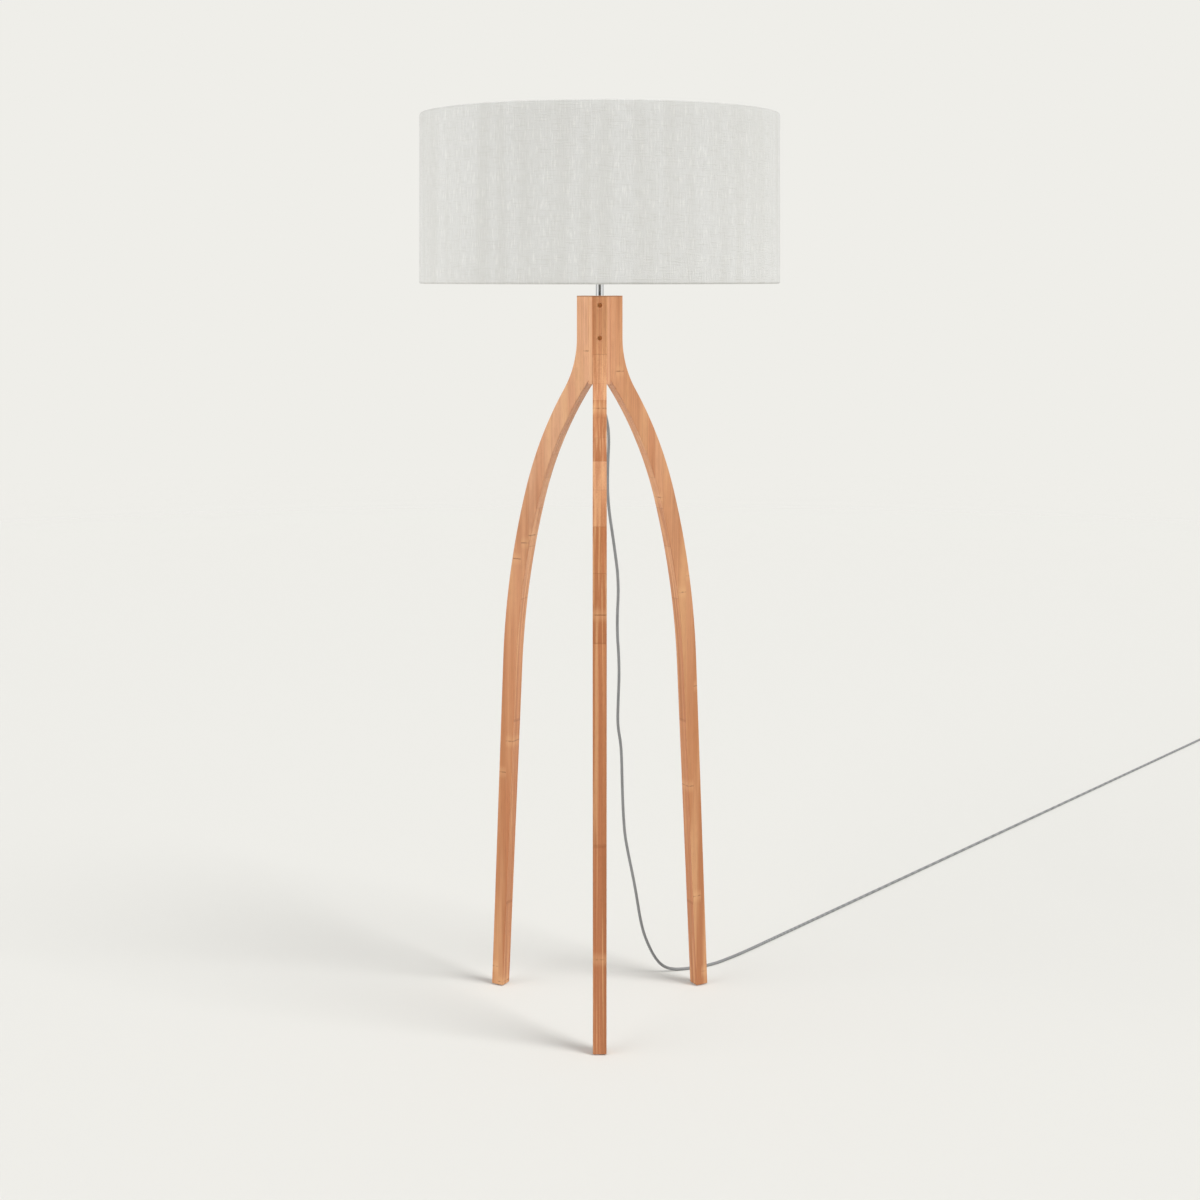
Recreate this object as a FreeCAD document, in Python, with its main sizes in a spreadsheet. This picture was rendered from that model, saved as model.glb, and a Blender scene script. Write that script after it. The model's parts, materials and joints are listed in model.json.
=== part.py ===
import FreeCAD, Part
import math
import os

import Sketcher

# Tripod floor lamp: three curved laminated bamboo legs bolted to a six-sided core, a drum shade
# on a threaded lamp holder above it, and a textile mains cord that leaves the core's underside.
# Frame: +Z up, origin on the floor under the shade's axis. The front leg points to -Y and the
# rear legs to 30 and 150 degrees. Millimetres and degrees.

Vector = FreeCAD.Vector
Rotation = FreeCAD.Rotation
Placement = FreeCAD.Placement

UP = Vector(0, 0, 1)
LEG_ANGLES = {"leg_front": -90, "leg_rear_right": 30, "leg_rear_left": 150}
FIT = 0.05  # play between pieces that fit into each other

# alias, value, what it measures
SIZES = [
    ("hub_top", 1183.0, "top of the legs and of the core"),
    ("core_bottom", 1036.0, "underside of the core, where the legs part"),
    ("core_face", 13.8, "core axis to the face a leg is bolted to"),
    ("core_face_width", 26.0, "width of each of those faces"),
    ("leg_outside_hub", 37.1, "lamp axis to the leg's outer face at the hub"),
    ("leg_flare_start", 1115.0, "height where the outer face starts to flare"),
    ("leg_flare_radius", 165.0, "radius of that hollow flare"),
    ("leg_flare_end", 1027.1, "height where the flare turns into the outer bend"),
    ("leg_outer_bend", 647.0, "radius of the outer face's upper bend"),
    ("leg_outer_bend_end", 856.3, "height where that bend ends"),
    ("leg_outer_sweep", 1295.0, "radius of the outer face's lower bend"),
    ("leg_outside_foot", 207.6, "lamp axis to the leg's outer face at the foot"),
    ("leg_part", 1043.0, "height where the inner face leaves the core"),
    ("leg_inner_bend", 623.0, "radius of the inner face's upper bend"),
    ("leg_inner_bend_end", 838.0, "height where that bend ends"),
    ("leg_inner_sweep_end", 549.5, "height where the inner face becomes straight"),
    ("leg_inner_sweep", 1338.0, "radius of the inner face's lower bend"),
    ("leg_inside_foot", 185.7, "lamp axis to the leg's inner face at the foot"),
    ("leg_width_hub", 25.6, "leg width along the hub"),
    ("leg_width_neck", 22.8, "leg width just below the core"),
    ("leg_width_foot", 21.4, "leg width at the foot"),
    ("leg_edge", 1.0, "rounding of the long edges"),
    ("overrun", 5.0, "how far a cut runs on past the piece"),
    ("wall_cut", 20.0, "depth of a cut that passes a whole wall"),
    ("glide_height", 2.0, "glide between leg and floor"),
    ("glide_radius", 7.5, "glide"),
    ("glide_chamfer", 0.8, "glide's lower edge"),
    ("glide_nail_radius", 2.0, "nail of the glide"),
    ("glide_nail_length", 14.0, "nail of the glide"),
    ("glide_nail_point", 3.0, "point of the nail"),
    ("bolt_top_height", 1167.7, "upper bolt row"),
    ("bolt_low_height", 1113.6, "lower bolt row"),
    ("bolt_radius", 2.5, "shank, M5"),
    ("bolt_hole_radius", 2.7, "clearance hole in the leg"),
    ("bolt_head_radius", 3.7, "socket head"),
    ("bolt_head_height", 5.0, "socket head"),
    ("bolt_seat", 27.1, "lamp axis to the underside of the head"),
    ("bolt_end", 7.2, "lamp axis to the tip of the shank"),
    ("bolt_socket_across", 4.0, "hexagon socket across flats"),
    ("bolt_socket_depth", 2.5, "hexagon socket"),
    ("bolt_tip_chamfer", 0.4, "tip of the shank"),
    ("bolt_head_chamfer", 0.5, "rim of the head"),
    ("counterbore_radius", 4.0, "sink for the head"),
    ("insert_radius", 3.6, "threaded insert in the core"),
    ("insert_end", 6.5, "lamp axis to the insert's inner end"),
    ("tube_radius", 5.0, "threaded tube, M10"),
    ("tube_bore", 3.5, "threaded tube, inside radius"),
    ("tube_end", 1042.0, "lower end of the threaded tube"),
    ("tube_top", 1211.8, "upper end of the threaded tube"),
    ("core_bore", 5.15, "bore of the core"),
    ("core_sink_radius", 10.0, "sink for nut and boot in the core's underside"),
    ("core_sink_depth", 14.0, "sink for nut and boot in the core's underside"),
    ("washer_radius", 9.0, "plain washer"),
    ("washer_thick", 1.0, "plain washer"),
    ("nut_across", 14.0, "M10 lamp nut across flats"),
    ("nut_height", 4.0, "M10 lamp nut"),
    ("sleeve_radius", 6.4, "polished sleeve round the threaded tube"),
    ("sleeve_bore", 5.2, "polished sleeve, inside radius"),
    ("boot_flange_radius", 9.2, "boot, part inside the core"),
    ("boot_radius", 6.4, "boot where it leaves the core"),
    ("boot_tip_radius", 3.7, "boot tip"),
    ("cord_radius", 2.5, "textile cord"),
    ("holder_bottom", 1205.0, "underside of the lamp holder"),
    ("cap_radius", 20.0, "holder cap"),
    ("cap_neck_radius", 9.0, "flat underside of the holder cap"),
    ("cap_shoulder", 1213.5, "height where the cap becomes a cylinder"),
    ("cap_curve", 13.0, "radius of the cap's shoulder"),
    ("cap_top", 1228.0, "rim of the holder cap"),
    ("cap_wall", 2.0, "wall of the holder cap"),
    ("cap_floor", 3.2, "floor of the holder cap"),
    ("skirt_depth", 4.0, "spigot of the threaded body inside the cap"),
    ("flange_radius", 23.5, "shoulder the shade rests on"),
    ("flange_thick", 3.0, "shoulder the shade rests on"),
    ("body_radius", 19.9, "crest of the shade thread"),
    ("body_bore", 17.2, "mouth of the lamp holder"),
    ("body_top", 1262.0, "rim of the lamp holder"),
    ("thread_pitch", 3.0, "shade thread"),
    ("thread_depth", 0.8, "shade thread"),
    ("insert_disc_radius", 16.1, "insulating insert"),
    ("insert_disc_low", 1222.0, "insulating insert"),
    ("insert_disc_top", 1232.0, "insulating insert"),
    ("shell_radius", 14.1, "screw shell, outside"),
    ("shell_bore", 13.6, "screw shell, inside, E27"),
    ("shell_top", 1255.0, "rim of the screw shell"),
    ("shell_lip", 2.5, "inward lip of the screw shell on the insert"),
    ("shell_thick", 0.5, "sheet of the screw shell and the contact"),
    ("contact_top", 1236.0, "top of the centre contact"),
    ("contact_width", 6.0, "centre contact strip"),
    ("terminal_offset", 9.0, "terminal screw to lamp axis"),
    ("terminal_radius", 1.5, "shank of the terminal screw"),
    ("terminal_length", 6.0, "shank of the terminal screw"),
    ("terminal_head_radius", 2.6, "head of the terminal screw"),
    ("terminal_head_height", 2.0, "head of the terminal screw"),
    ("conductor_radius", 0.9, "insulated conductor"),
    ("knob_height", 1217.5, "axis of the switch knob"),
    ("knob_radius", 5.5, "switch knob"),
    ("knob_start", 21.2, "lamp axis to the knob"),
    ("knob_length", 13.0, "switch knob"),
    ("knob_chamfer", 1.0, "rim of the knob's face"),
    ("knob_flute_radius", 1.15, "grip flutes of the knob"),
    ("shaft_radius", 1.6, "switch shaft"),
    ("shaft_start", 13.4, "lamp axis to the shaft's inner end"),
    ("shaft_in_knob", 8.0, "length of the shaft inside the knob"),
    ("block_start", 9.0, "lamp axis to the switch block"),
    ("block_length", 6.5, "switch block, outward"),
    ("block_half_width", 5.0, "switch block"),
    ("block_below", 4.5, "switch block below the knob's axis"),
    ("block_above", 3.0, "switch block above the knob's axis"),
    ("ring_radius", 28.0, "shade ring nut"),
    ("ring_bore", 20.3, "shade ring nut"),
    ("ring_height", 11.0, "shade ring nut"),
    ("ring_flange", 3.0, "shade ring nut's flange, high and wide"),
    ("ring_flute_radius", 1.8, "finger flutes of the shade ring nut"),
    ("joint_gap", 0.3, "air between pieces that turn on each other"),
    ("shade_radius", 300.0, "outer face of the linen"),
    ("shade_bottom", 1203.4, "lowest point of the shade"),
    ("shade_top", 1484.3, "highest point of the shade"),
    ("linen_thick", 1.0, "linen"),
    ("linen_hem", 9.0, "linen turned in past the wire rings"),
    ("wire_radius", 2.0, "wire rings"),
    ("arm_radius", 1.75, "spider arms"),
    ("arm_start", 26.0, "lamp axis to the arms' inner ends"),
    ("arm_bend", 34.0, "lamp axis to the arms' bend"),
    ("spider_hole", 21.0, "hole of the spider washer"),
    ("spider_radius", 30.0, "spider washer"),
    ("spider_thick", 1.5, "spider washer"),
    ("liner_thick", 0.5, "shade liner"),
    ("bulb_bottom", 1236.4, "lowest point of the bulb"),
    ("bulb_length", 108.0, "bulb"),
    ("bulb_radius", 30.0, "globe"),
    ("bulb_cap_radius", 13.1, "screw cap, E27"),
    ("bulb_skin", 1.2, "wall of the globe"),
    ("bulb_rim", 24.0, "radius where the globe meets the housing"),
    ("board_thick", 1.4, "LED board"),
    ("driver_half_width", 9.0, "driver board"),
    ("driver_thick", 1.2, "driver board"),
    ("plug_width", 35.3, "two-pin plug"),
    ("plug_thick", 13.7, "two-pin plug"),
    ("plug_length", 36.0, "two-pin plug without its pins"),
    ("pin_radius", 2.0, "plug pin"),
    ("pin_length", 19.0, "plug pin"),
    ("pin_spacing", 18.6, "plug pins, centre to centre"),
    ("plug_relief_length", 24.0, "tapered relief behind the plug"),
]

# The cord's route: out of the boot, down between the legs, round behind the rear right foot and
# straight away over the floor to the plug. Height 2.5 is the cord's axis when it lies on the floor.
CORD_ROUTE = [
    (0, 0, 1041), (0, 0, 1029), (1.8, 0, 1011), (8.6, 0, 989), (14, 1, 966), (15.5, 1.5, 938),
    (13.5, 2.5, 905), (13, 6, 840), (23.5, 13.5, 770), (32.5, 22, 700), (28.5, 31.5, 628),
    (33.5, 43.5, 556), (31, 57.5, 485), (30.5, 64.5, 450), (37, 72, 414), (38.5, 87, 342),
    (41.5, 101.5, 270), (46, 108.5, 235), (60, 121.5, 165), (65.5, 128, 130), (70.5, 133, 98),
    (78, 138, 67), (94, 145, 30), (110, 150.5, 10), (130, 156, 2.5), (160, 163, 2.5),
    (198, 181, 2.5), (229, 211, 2.5), (262, 247, 2.5), (1588, 1840, 2.5), (1622, 1876, 2.5),
    (1655, 1905.5, 6.85), (1685, 1932.5, 6.85),
]
BOOT_ROUTE = CORD_ROUTE[:5]

# Distance from the lamp's axis to the joints between the leg's arcs, before their tangencies
# settle them, and the height of the one joint that no size gives.
NECK_START = 62.6
ELBOW_START = 138.5
KNEE_START = 185.7
KNEE_HEIGHT_START = 557.6
SHIN_START = 159.0
CALF_START = 113.1

KNOB_FLUTES = 12
RING_FLUTES = 18
LED_COUNT = 12
THREAD_TURNS = 9
RELIEF_RINGS = 5

doc = FreeCAD.newDocument("floor_lamp")
sheet = doc.addObject("Spreadsheet::Sheet", "sizes")
parts = []


class Size:
    """A number together with the sheet expression that yields it."""

    def __init__(self, value, text):
        self.value = float(value)
        self.text = text

    def __add__(self, other):
        other = as_size(other)
        return Size(self.value + other.value, "(" + self.text + " + " + other.text + ")")

    def __sub__(self, other):
        other = as_size(other)
        return Size(self.value - other.value, "(" + self.text + " - " + other.text + ")")

    def __mul__(self, other):
        other = as_size(other)
        return Size(self.value * other.value, "(" + self.text + " * " + other.text + ")")

    def __neg__(self):
        return self * -1


def as_size(number):
    if isinstance(number, Size):
        return number
    return Size(number, "(" + repr(float(number)) + ")")


def size(alias):
    return Size(sheet.get(alias), "sizes." + alias)


def bind(target, prop, amount):
    """Sets a property from a size and keeps it bound to the sheet."""
    amount = as_size(amount)
    target.setExpression(prop, amount.text)


def fill_sheet():
    for row, (alias, value, note) in enumerate(SIZES, start=1):
        sheet.set("A" + str(row), note)
        sheet.set("B" + str(row), str(value))
        sheet.setAlias("B" + str(row), alias)
    doc.recompute()


# Bodies, sketches and features


def new_body(label):
    """A PartDesign body that becomes one node."""
    body = doc.addObject("PartDesign::Body", label)
    body.Label = label
    parts.append(body)
    return body


def origin_item(body, role):
    return [item for item in body.Origin.OriginFeatures if item.Role == role][0]


def new_sketch(body, name, role, shift=(0, 0, 0)):
    """A sketch on one of the body's own planes, moved by shift in the plane's own directions."""
    sketch = body.newObject("Sketcher::SketchObject", name)
    sketch.AttachmentSupport = (origin_item(body, role), [""])
    sketch.MapMode = "FlatFace"
    for letter, amount in zip("xyz", shift):
        bind(sketch, "AttachmentOffset.Base." + letter, amount)
    return sketch


def hold(sketch, kind, amount, *places):
    """Adds a driving constraint and binds it to the sheet."""
    amount = as_size(amount)
    index = sketch.addConstraint(Sketcher.Constraint(kind, *places, amount.value))
    sketch.setExpression("Constraints[" + str(index) + "]", amount.text)


def hold_point(sketch, edge, end, x, y):
    hold(sketch, "DistanceX", x, -1, 1, edge, end)
    hold(sketch, "DistanceY", y, -1, 1, edge, end)


def arc_between(start, end, radius):
    """The short arc from start to end. A positive radius turns left on the way."""
    chord = end - start
    side = UP.cross(chord).normalize()
    rise = math.sqrt(max(radius ** 2 - (chord.Length / 2) ** 2, 0))
    centre = (start + end) * 0.5 + side * math.copysign(rise, radius)
    first, last = (start, end) if radius > 0 else (end, start)
    angles = [math.atan2(point.y - centre.y, point.x - centre.x) for point in (first, last)]
    if angles[1] < angles[0]:
        angles[1] += 2 * math.pi
    return Part.ArcOfCircle(Part.Circle(centre, UP, abs(radius)), angles[0], angles[1])


def outline(sketch, corners, arcs=None):
    """A closed outline through corners. arcs gives the radius of the edge after a corner."""
    arcs = arcs or {}
    corners = [(as_size(x), as_size(y)) for x, y in corners]
    points = [Vector(x.value, y.value, 0) for x, y in corners]
    ends = []
    edges = []
    for index, start in enumerate(points):
        end = points[(index + 1) % len(points)]
        if index in arcs:
            radius = as_size(arcs[index])
            edges.append(sketch.addGeometry(arc_between(start, end, radius.value), False))
            ends.append((1, 2) if radius.value > 0 else (2, 1))
        else:
            edges.append(sketch.addGeometry(Part.LineSegment(start, end), False))
            ends.append((1, 2))
    for index, edge in enumerate(edges):
        following = (index + 1) % len(edges)
        sketch.addConstraint(Sketcher.Constraint(
            "Coincident", edge, ends[index][1], edges[following], ends[following][0]))
        hold_point(sketch, edge, ends[index][0], *corners[index])
        if index in arcs:
            radius = as_size(arcs[index])
            hold(sketch, "Radius", radius if radius.value > 0 else -radius, edge)


def circle(sketch, x, y, radius):
    x, y, radius = as_size(x), as_size(y), as_size(radius)
    centre = Vector(x.value, y.value, 0)
    edge = sketch.addGeometry(Part.Circle(centre, UP, radius.value), False)
    hold_point(sketch, edge, 3, x, y)
    hold(sketch, "Radius", radius, edge)


def box_outline(sketch, x_low, y_low, x_high, y_high):
    outline(sketch, [(x_low, y_low), (x_high, y_low), (x_high, y_high), (x_low, y_high)])


def pad(body, sketch, length, symmetric=False, reverse=False):
    feature = body.newObject("PartDesign::Pad", sketch.Name + "_pad")
    feature.Profile = sketch
    feature.SideType = "Symmetric" if symmetric else "One side"
    feature.Reversed = reverse
    bind(feature, "Length", length)
    return feature


def cut(body, sketch, depth=None, reverse=False):
    """Cuts to a depth along the sketch's back side, or with no depth right through both ways."""
    doc.recompute()
    before = body.Shape.Volume
    feature = body.newObject("PartDesign::Pocket", sketch.Name + "_pocket")
    feature.Profile = sketch
    if depth is None:
        feature.SideType = "Symmetric"
        feature.Type = "ThroughAll"
    else:
        feature.Reversed = reverse
        bind(feature, "Length", depth)
    doc.recompute()
    if body.Shape.Volume > before - 0.01:
        raise ValueError(sketch.Name + " cuts nothing")
    return feature


def revolve(body, sketch, axis="V_Axis", groove=False):
    kind = "PartDesign::Groove" if groove else "PartDesign::Revolution"
    feature = body.newObject(kind, sketch.Name + "_turned")
    feature.Profile = sketch
    feature.ReferenceAxis = (sketch, [axis])
    feature.Angle = 360
    return feature


def polar(body, features, count, axis="Z_Axis"):
    pattern = body.newObject("PartDesign::PolarPattern", features[-1].Name + "_round")
    pattern.Originals = features
    pattern.Axis = (origin_item(body, axis), [""])
    pattern.Angle = 360
    pattern.Occurrences = count
    body.Tip = pattern
    return pattern


def linear(body, features, count, span, axis="Z_Axis"):
    pattern = body.newObject("PartDesign::LinearPattern", features[-1].Name + "_row")
    pattern.Originals = features
    pattern.Direction = (origin_item(body, axis), [""])
    bind(pattern, "Length", span)
    pattern.Occurrences = count
    body.Tip = pattern
    return pattern


def turned(label, corners, arcs=None):
    """A piece turned about the lamp's axis from its half section (radius, height)."""
    body = new_body(label)
    section = new_sketch(body, label + "_section", "XZ_Plane")
    outline(section, corners, arcs)
    revolve(body, section)
    return body


def ring(label, inner, outer, low, high):
    return turned(label, [(inner, low), (outer, low), (outer, high), (inner, high)])


def soften(body, kind, radius, picks):
    """Rounds or chamfers the edges that picks accepts."""
    doc.recompute()
    names = [
        "Edge" + str(index)
        for index, edge in enumerate(body.Shape.Edges, start=1)
        if picks(edge)
    ]
    tip = body.Tip
    feature = body.newObject("PartDesign::" + kind, body.Name + "_" + kind.lower())
    feature.Base = (tip, names)
    bind(feature, "Radius" if kind == "Fillet" else "Size", radius)
    return feature


def plain_part(kind, label, keep=True, **lengths):
    """A Part primitive or boolean. keep makes it a node."""
    item = doc.addObject("Part::" + kind, label)
    item.Label = label
    for prop, amount in lengths.items():
        bind(item, prop, amount)
    if keep:
        parts.append(item)
    return item


def fixed_shape(label, shape, keep=True):
    item = doc.addObject("Part::Feature", label)
    item.Label = label
    item.Shape = shape
    if keep:
        parts.append(item)
    return item


# Legs and core


def tangent_chain(sketch, edges):
    """Joins arcs and lines end to end without a corner."""
    for (first, first_end), (second, second_end) in edges:
        sketch.addConstraint(
            Sketcher.Constraint("Tangent", first, first_end, second, second_end))


def leg_profile(sketch):
    """The leg seen from the side: radius to the right, height up."""
    top = size("hub_top").value
    foot = size("glide_height")
    outside = size("leg_outside_hub").value
    flare = Vector(outside, size("leg_flare_start").value, 0)
    neck = Vector(NECK_START, size("leg_flare_end").value, 0)
    elbow = Vector(ELBOW_START, size("leg_outer_bend_end").value, 0)
    knee = Vector(KNEE_START, KNEE_HEIGHT_START, 0)
    outer_foot = Vector(size("leg_outside_foot").value, foot.value, 0)
    inner_foot = Vector(size("leg_inside_foot").value, foot.value, 0)
    shin = Vector(SHIN_START, size("leg_inner_sweep_end").value, 0)
    calf = Vector(CALF_START, size("leg_inner_bend_end").value, 0)
    inset = size("core_face").value
    crotch = Vector(inset, size("leg_part").value, 0)
    shapes = [
        Part.LineSegment(Vector(outside, top, 0), flare),
        arc_between(flare, neck, size("leg_flare_radius").value),
        arc_between(neck, elbow, -size("leg_outer_bend").value),
        arc_between(elbow, knee, -size("leg_outer_sweep").value),
        Part.LineSegment(knee, outer_foot),
        Part.LineSegment(outer_foot, inner_foot),
        Part.LineSegment(inner_foot, shin),
        arc_between(shin, calf, size("leg_inner_sweep").value),
        arc_between(calf, crotch, size("leg_inner_bend").value),
        Part.LineSegment(crotch, Vector(inset, top, 0)),
        Part.LineSegment(Vector(inset, top, 0), Vector(outside, top, 0)),
    ]
    (hub_out, hollow, bend_out, sweep_out, straight_out, sole,
     straight_in, sweep_in, bend_in, hub_in, crown) = sketch.addGeometry(shapes, False)
    tangent_chain(sketch, [
        ((hub_out, 2), (hollow, 1)),
        ((hollow, 2), (bend_out, 2)),
        ((bend_out, 1), (sweep_out, 2)),
        ((sweep_out, 1), (straight_out, 1)),
        ((straight_in, 2), (sweep_in, 1)),
        ((sweep_in, 2), (bend_in, 1)),
    ])
    for first, first_end, second, second_end in (
        (straight_out, 2, sole, 1),
        (sole, 2, straight_in, 1),
        (bend_in, 2, hub_in, 1),
        (hub_in, 2, crown, 1),
        (crown, 2, hub_out, 1),
    ):
        sketch.addConstraint(
            Sketcher.Constraint("Coincident", first, first_end, second, second_end))
    hold_point(sketch, hub_out, 1, size("leg_outside_hub"), size("hub_top"))
    hold_point(sketch, hub_out, 2, size("leg_outside_hub"), size("leg_flare_start"))
    hold_point(sketch, straight_out, 2, size("leg_outside_foot"), foot)
    hold_point(sketch, straight_in, 1, size("leg_inside_foot"), foot)
    hold_point(sketch, hub_in, 1, size("core_face"), size("leg_part"))
    hold_point(sketch, hub_in, 2, size("core_face"), size("hub_top"))
    hold(sketch, "DistanceY", size("leg_flare_end"), -1, 1, hollow, 2)
    hold(sketch, "DistanceY", size("leg_outer_bend_end"), -1, 1, bend_out, 1)
    hold(sketch, "DistanceY", size("leg_inner_bend_end"), -1, 1, bend_in, 1)
    hold(sketch, "DistanceY", size("leg_inner_sweep_end"), -1, 1, sweep_in, 1)
    hold(sketch, "Radius", size("leg_flare_radius"), hollow)
    hold(sketch, "Radius", size("leg_outer_bend"), bend_out)
    hold(sketch, "Radius", size("leg_outer_sweep"), sweep_out)
    hold(sketch, "Radius", size("leg_inner_bend"), bend_in)


def bolt_circles(sketch, radius):
    for row in ("bolt_top_height", "bolt_low_height"):
        circle(sketch, 0, size(row), radius)


def is_long_edge(edge):
    """Whether an edge of a leg runs up one of its four corners."""
    return edge.BoundBox.ZLength > 5 and abs(edge.CenterOfMass.y) > 5


def foot_middle():
    """Lamp axis to the middle of a foot."""
    return (size("leg_outside_foot") + size("leg_inside_foot")) * 0.5


def make_leg(label, angle):
    """One leg, modelled towards +X and turned to its place."""
    body = new_body(label)
    profile = new_sketch(body, label + "_profile", "XZ_Plane")
    leg_profile(profile)
    pad(body, profile, size("leg_width_hub"), symmetric=True)
    sides = new_sketch(body, label + "_sides", "YZ_Plane")
    below = -size("overrun")
    above = size("hub_top") + size("overrun")
    clear = size("leg_width_hub")
    for side in (1, -1):
        outline(sides, [
            (clear * side, below),
            (size("leg_width_foot") * (0.5 * side), below),
            (size("leg_width_neck") * (0.5 * side), size("leg_flare_end")),
            (size("leg_width_hub") * (0.5 * side), size("leg_flare_start")),
            (size("leg_width_hub") * (0.5 * side) + 0.01 * side, above),
            (clear * side, above),
        ])
    cut(body, sides)
    soften(body, "Fillet", size("leg_edge"), is_long_edge)

    shanks = new_sketch(body, label + "_shank_holes", "YZ_Plane")
    bolt_circles(shanks, size("bolt_hole_radius"))
    cut(body, shanks)
    sinks = new_sketch(body, label + "_head_sinks", "YZ_Plane", (0, 0, size("bolt_seat")))
    bolt_circles(sinks, size("counterbore_radius"))
    cut(body, sinks, size("wall_cut"), reverse=True)
    nail = new_sketch(body, label + "_nail_hole", "XY_Plane", (0, 0, size("glide_height")))
    circle(nail, foot_middle(), 0, size("glide_nail_radius"))
    cut(body, nail, size("glide_nail_length") - size("glide_height"), reverse=True)
    body.Placement = Placement(Vector(0, 0, 0), Rotation(UP, angle))


def make_core():
    """Six-sided post: three wide faces for the legs, three narrow ones between them."""
    body = new_body("hub_core")
    section = new_sketch(body, "core_section", "XY_Plane", (0, 0, size("core_bottom")))
    corners = []
    for angle in (0, 120, 240):
        across = math.cos(math.radians(angle))
        along = math.sin(math.radians(angle))
        for side in (-0.5, 0.5):
            half = size("core_face_width") * side
            corners.append((
                size("core_face") * across - half * along,
                size("core_face") * along + half * across,
            ))
    outline(section, corners)
    pad(body, section, size("hub_top") - size("core_bottom"))
    bore = new_sketch(body, "core_bore", "XY_Plane")
    circle(bore, 0, 0, size("core_bore"))
    cut(body, bore)
    sink = new_sketch(body, "core_sink", "XY_Plane", (0, 0, size("core_bottom")))
    circle(sink, 0, 0, size("core_sink_radius"))
    cut(body, sink, size("core_sink_depth"), reverse=True)
    sockets = new_sketch(body, "insert_holes", "YZ_Plane", (0, 0, size("insert_end")))
    bolt_circles(sockets, size("insert_radius"))
    holes = cut(body, sockets, size("wall_cut"), reverse=True)
    polar(body, [holes], 3)
    body.Placement = Placement(Vector(0, 0, 0), Rotation(UP, 30))


def bolt_rows(label, corners, socket=False):
    """Pieces turned about a bolt's axis (distance along it, radius), for all six bolts."""
    body = new_body(label)
    section = new_sketch(body, label + "_section", "XZ_Plane", (0, size("bolt_low_height"), 0))
    outline(section, corners)
    originals = [revolve(body, section, "H_Axis")]
    if socket:
        head = size("bolt_seat") + size("bolt_head_height")
        hexagon = new_sketch(body, label + "_socket", "YZ_Plane", (0, 0, head))
        flat = size("bolt_socket_across") * (1 / math.sqrt(3))
        outline(hexagon, [
            (
                flat * math.cos(math.radians(step)),
                size("bolt_low_height") + flat * math.sin(math.radians(step)),
            )
            for step in range(0, 360, 60)
        ])
        originals.append(cut(body, hexagon, size("bolt_socket_depth")))
    body.Tip = originals[-1]
    doc.recompute()
    transform = body.newObject("PartDesign::MultiTransform", label + "_all")
    transform.Originals = originals
    rows = doc.addObject("PartDesign::LinearPattern", label + "_rows")
    rows.Direction = (origin_item(body, "Z_Axis"), [""])
    bind(rows, "Length", size("bolt_top_height") - size("bolt_low_height"))
    rows.Occurrences = 2
    around = doc.addObject("PartDesign::PolarPattern", label + "_around")
    around.Axis = (origin_item(body, "Z_Axis"), [""])
    around.Angle = 360
    around.Occurrences = 3
    body.addObject(rows)
    body.addObject(around)
    transform.Transformations = [rows, around]
    body.Tip = transform
    body.Placement = Placement(Vector(0, 0, 0), Rotation(UP, 30))


def make_fasteners():
    seat = size("bolt_seat")
    head = seat + size("bolt_head_height")
    tip = size("bolt_end")
    bolt_rows("leg_bolts", [
        (tip, 0),
        (tip, size("bolt_radius") - size("bolt_tip_chamfer")),
        (tip + size("bolt_tip_chamfer"), size("bolt_radius")),
        (seat, size("bolt_radius")),
        (seat, size("bolt_head_radius")),
        (head - size("bolt_head_chamfer"), size("bolt_head_radius")),
        (head, size("bolt_head_radius") - size("bolt_head_chamfer")),
        (head, 0),
    ], socket=True)
    face = size("core_face")
    bolt_rows("threaded_inserts", [
        (size("insert_end"), size("bolt_radius") + FIT),
        (face, size("bolt_radius") + FIT),
        (face, size("insert_radius")),
        (size("insert_end"), size("insert_radius")),
    ])


def make_glides():
    """Three nail-on glides, modelled under one foot and repeated round the axis."""
    body = new_body("foot_glides")
    section = new_sketch(body, "glide_section", "XZ_Plane", (foot_middle(), 0, 0))
    nail = size("glide_nail_radius")
    chamfer = size("glide_chamfer")
    outline(section, [
        (0, 0),
        (size("glide_radius") - chamfer, 0),
        (size("glide_radius"), chamfer),
        (size("glide_radius"), size("glide_height")),
        (nail, size("glide_height")),
        (nail, size("glide_nail_length") - size("glide_nail_point")),
        (0, size("glide_nail_length")),
    ])
    polar(body, [revolve(body, section)], 3)
    body.Placement = Placement(Vector(0, 0, 0), Rotation(UP, 30))


# Tube, nuts and lamp holder


def hexagon_nut(label, low):
    body = new_body(label)
    section = new_sketch(body, label + "_section", "XY_Plane", (0, 0, low))
    corner = size("nut_across") * (1 / math.sqrt(3))
    outline(section, [
        (corner * math.cos(math.radians(step)), corner * math.sin(math.radians(step)))
        for step in range(0, 360, 60)
    ])
    circle(section, 0, 0, size("tube_radius") + FIT)
    pad(body, section, size("nut_height"))


def make_tube():
    ring("threaded_tube", size("tube_bore"), size("tube_radius"), size("tube_end"), size("tube_top"))
    ring("tube_sleeve", size("sleeve_bore"), size("sleeve_radius"),
         size("hub_top"), size("holder_bottom"))
    ceiling = size("core_bottom") + size("core_sink_depth")
    washer_low = ceiling - size("washer_thick")
    ring("tube_washer", size("core_bore"), size("washer_radius"), washer_low, ceiling)
    hexagon_nut("tube_nut", washer_low - size("nut_height"))
    hexagon_nut("holder_locknut", size("holder_bottom") + size("cap_floor"))


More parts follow.
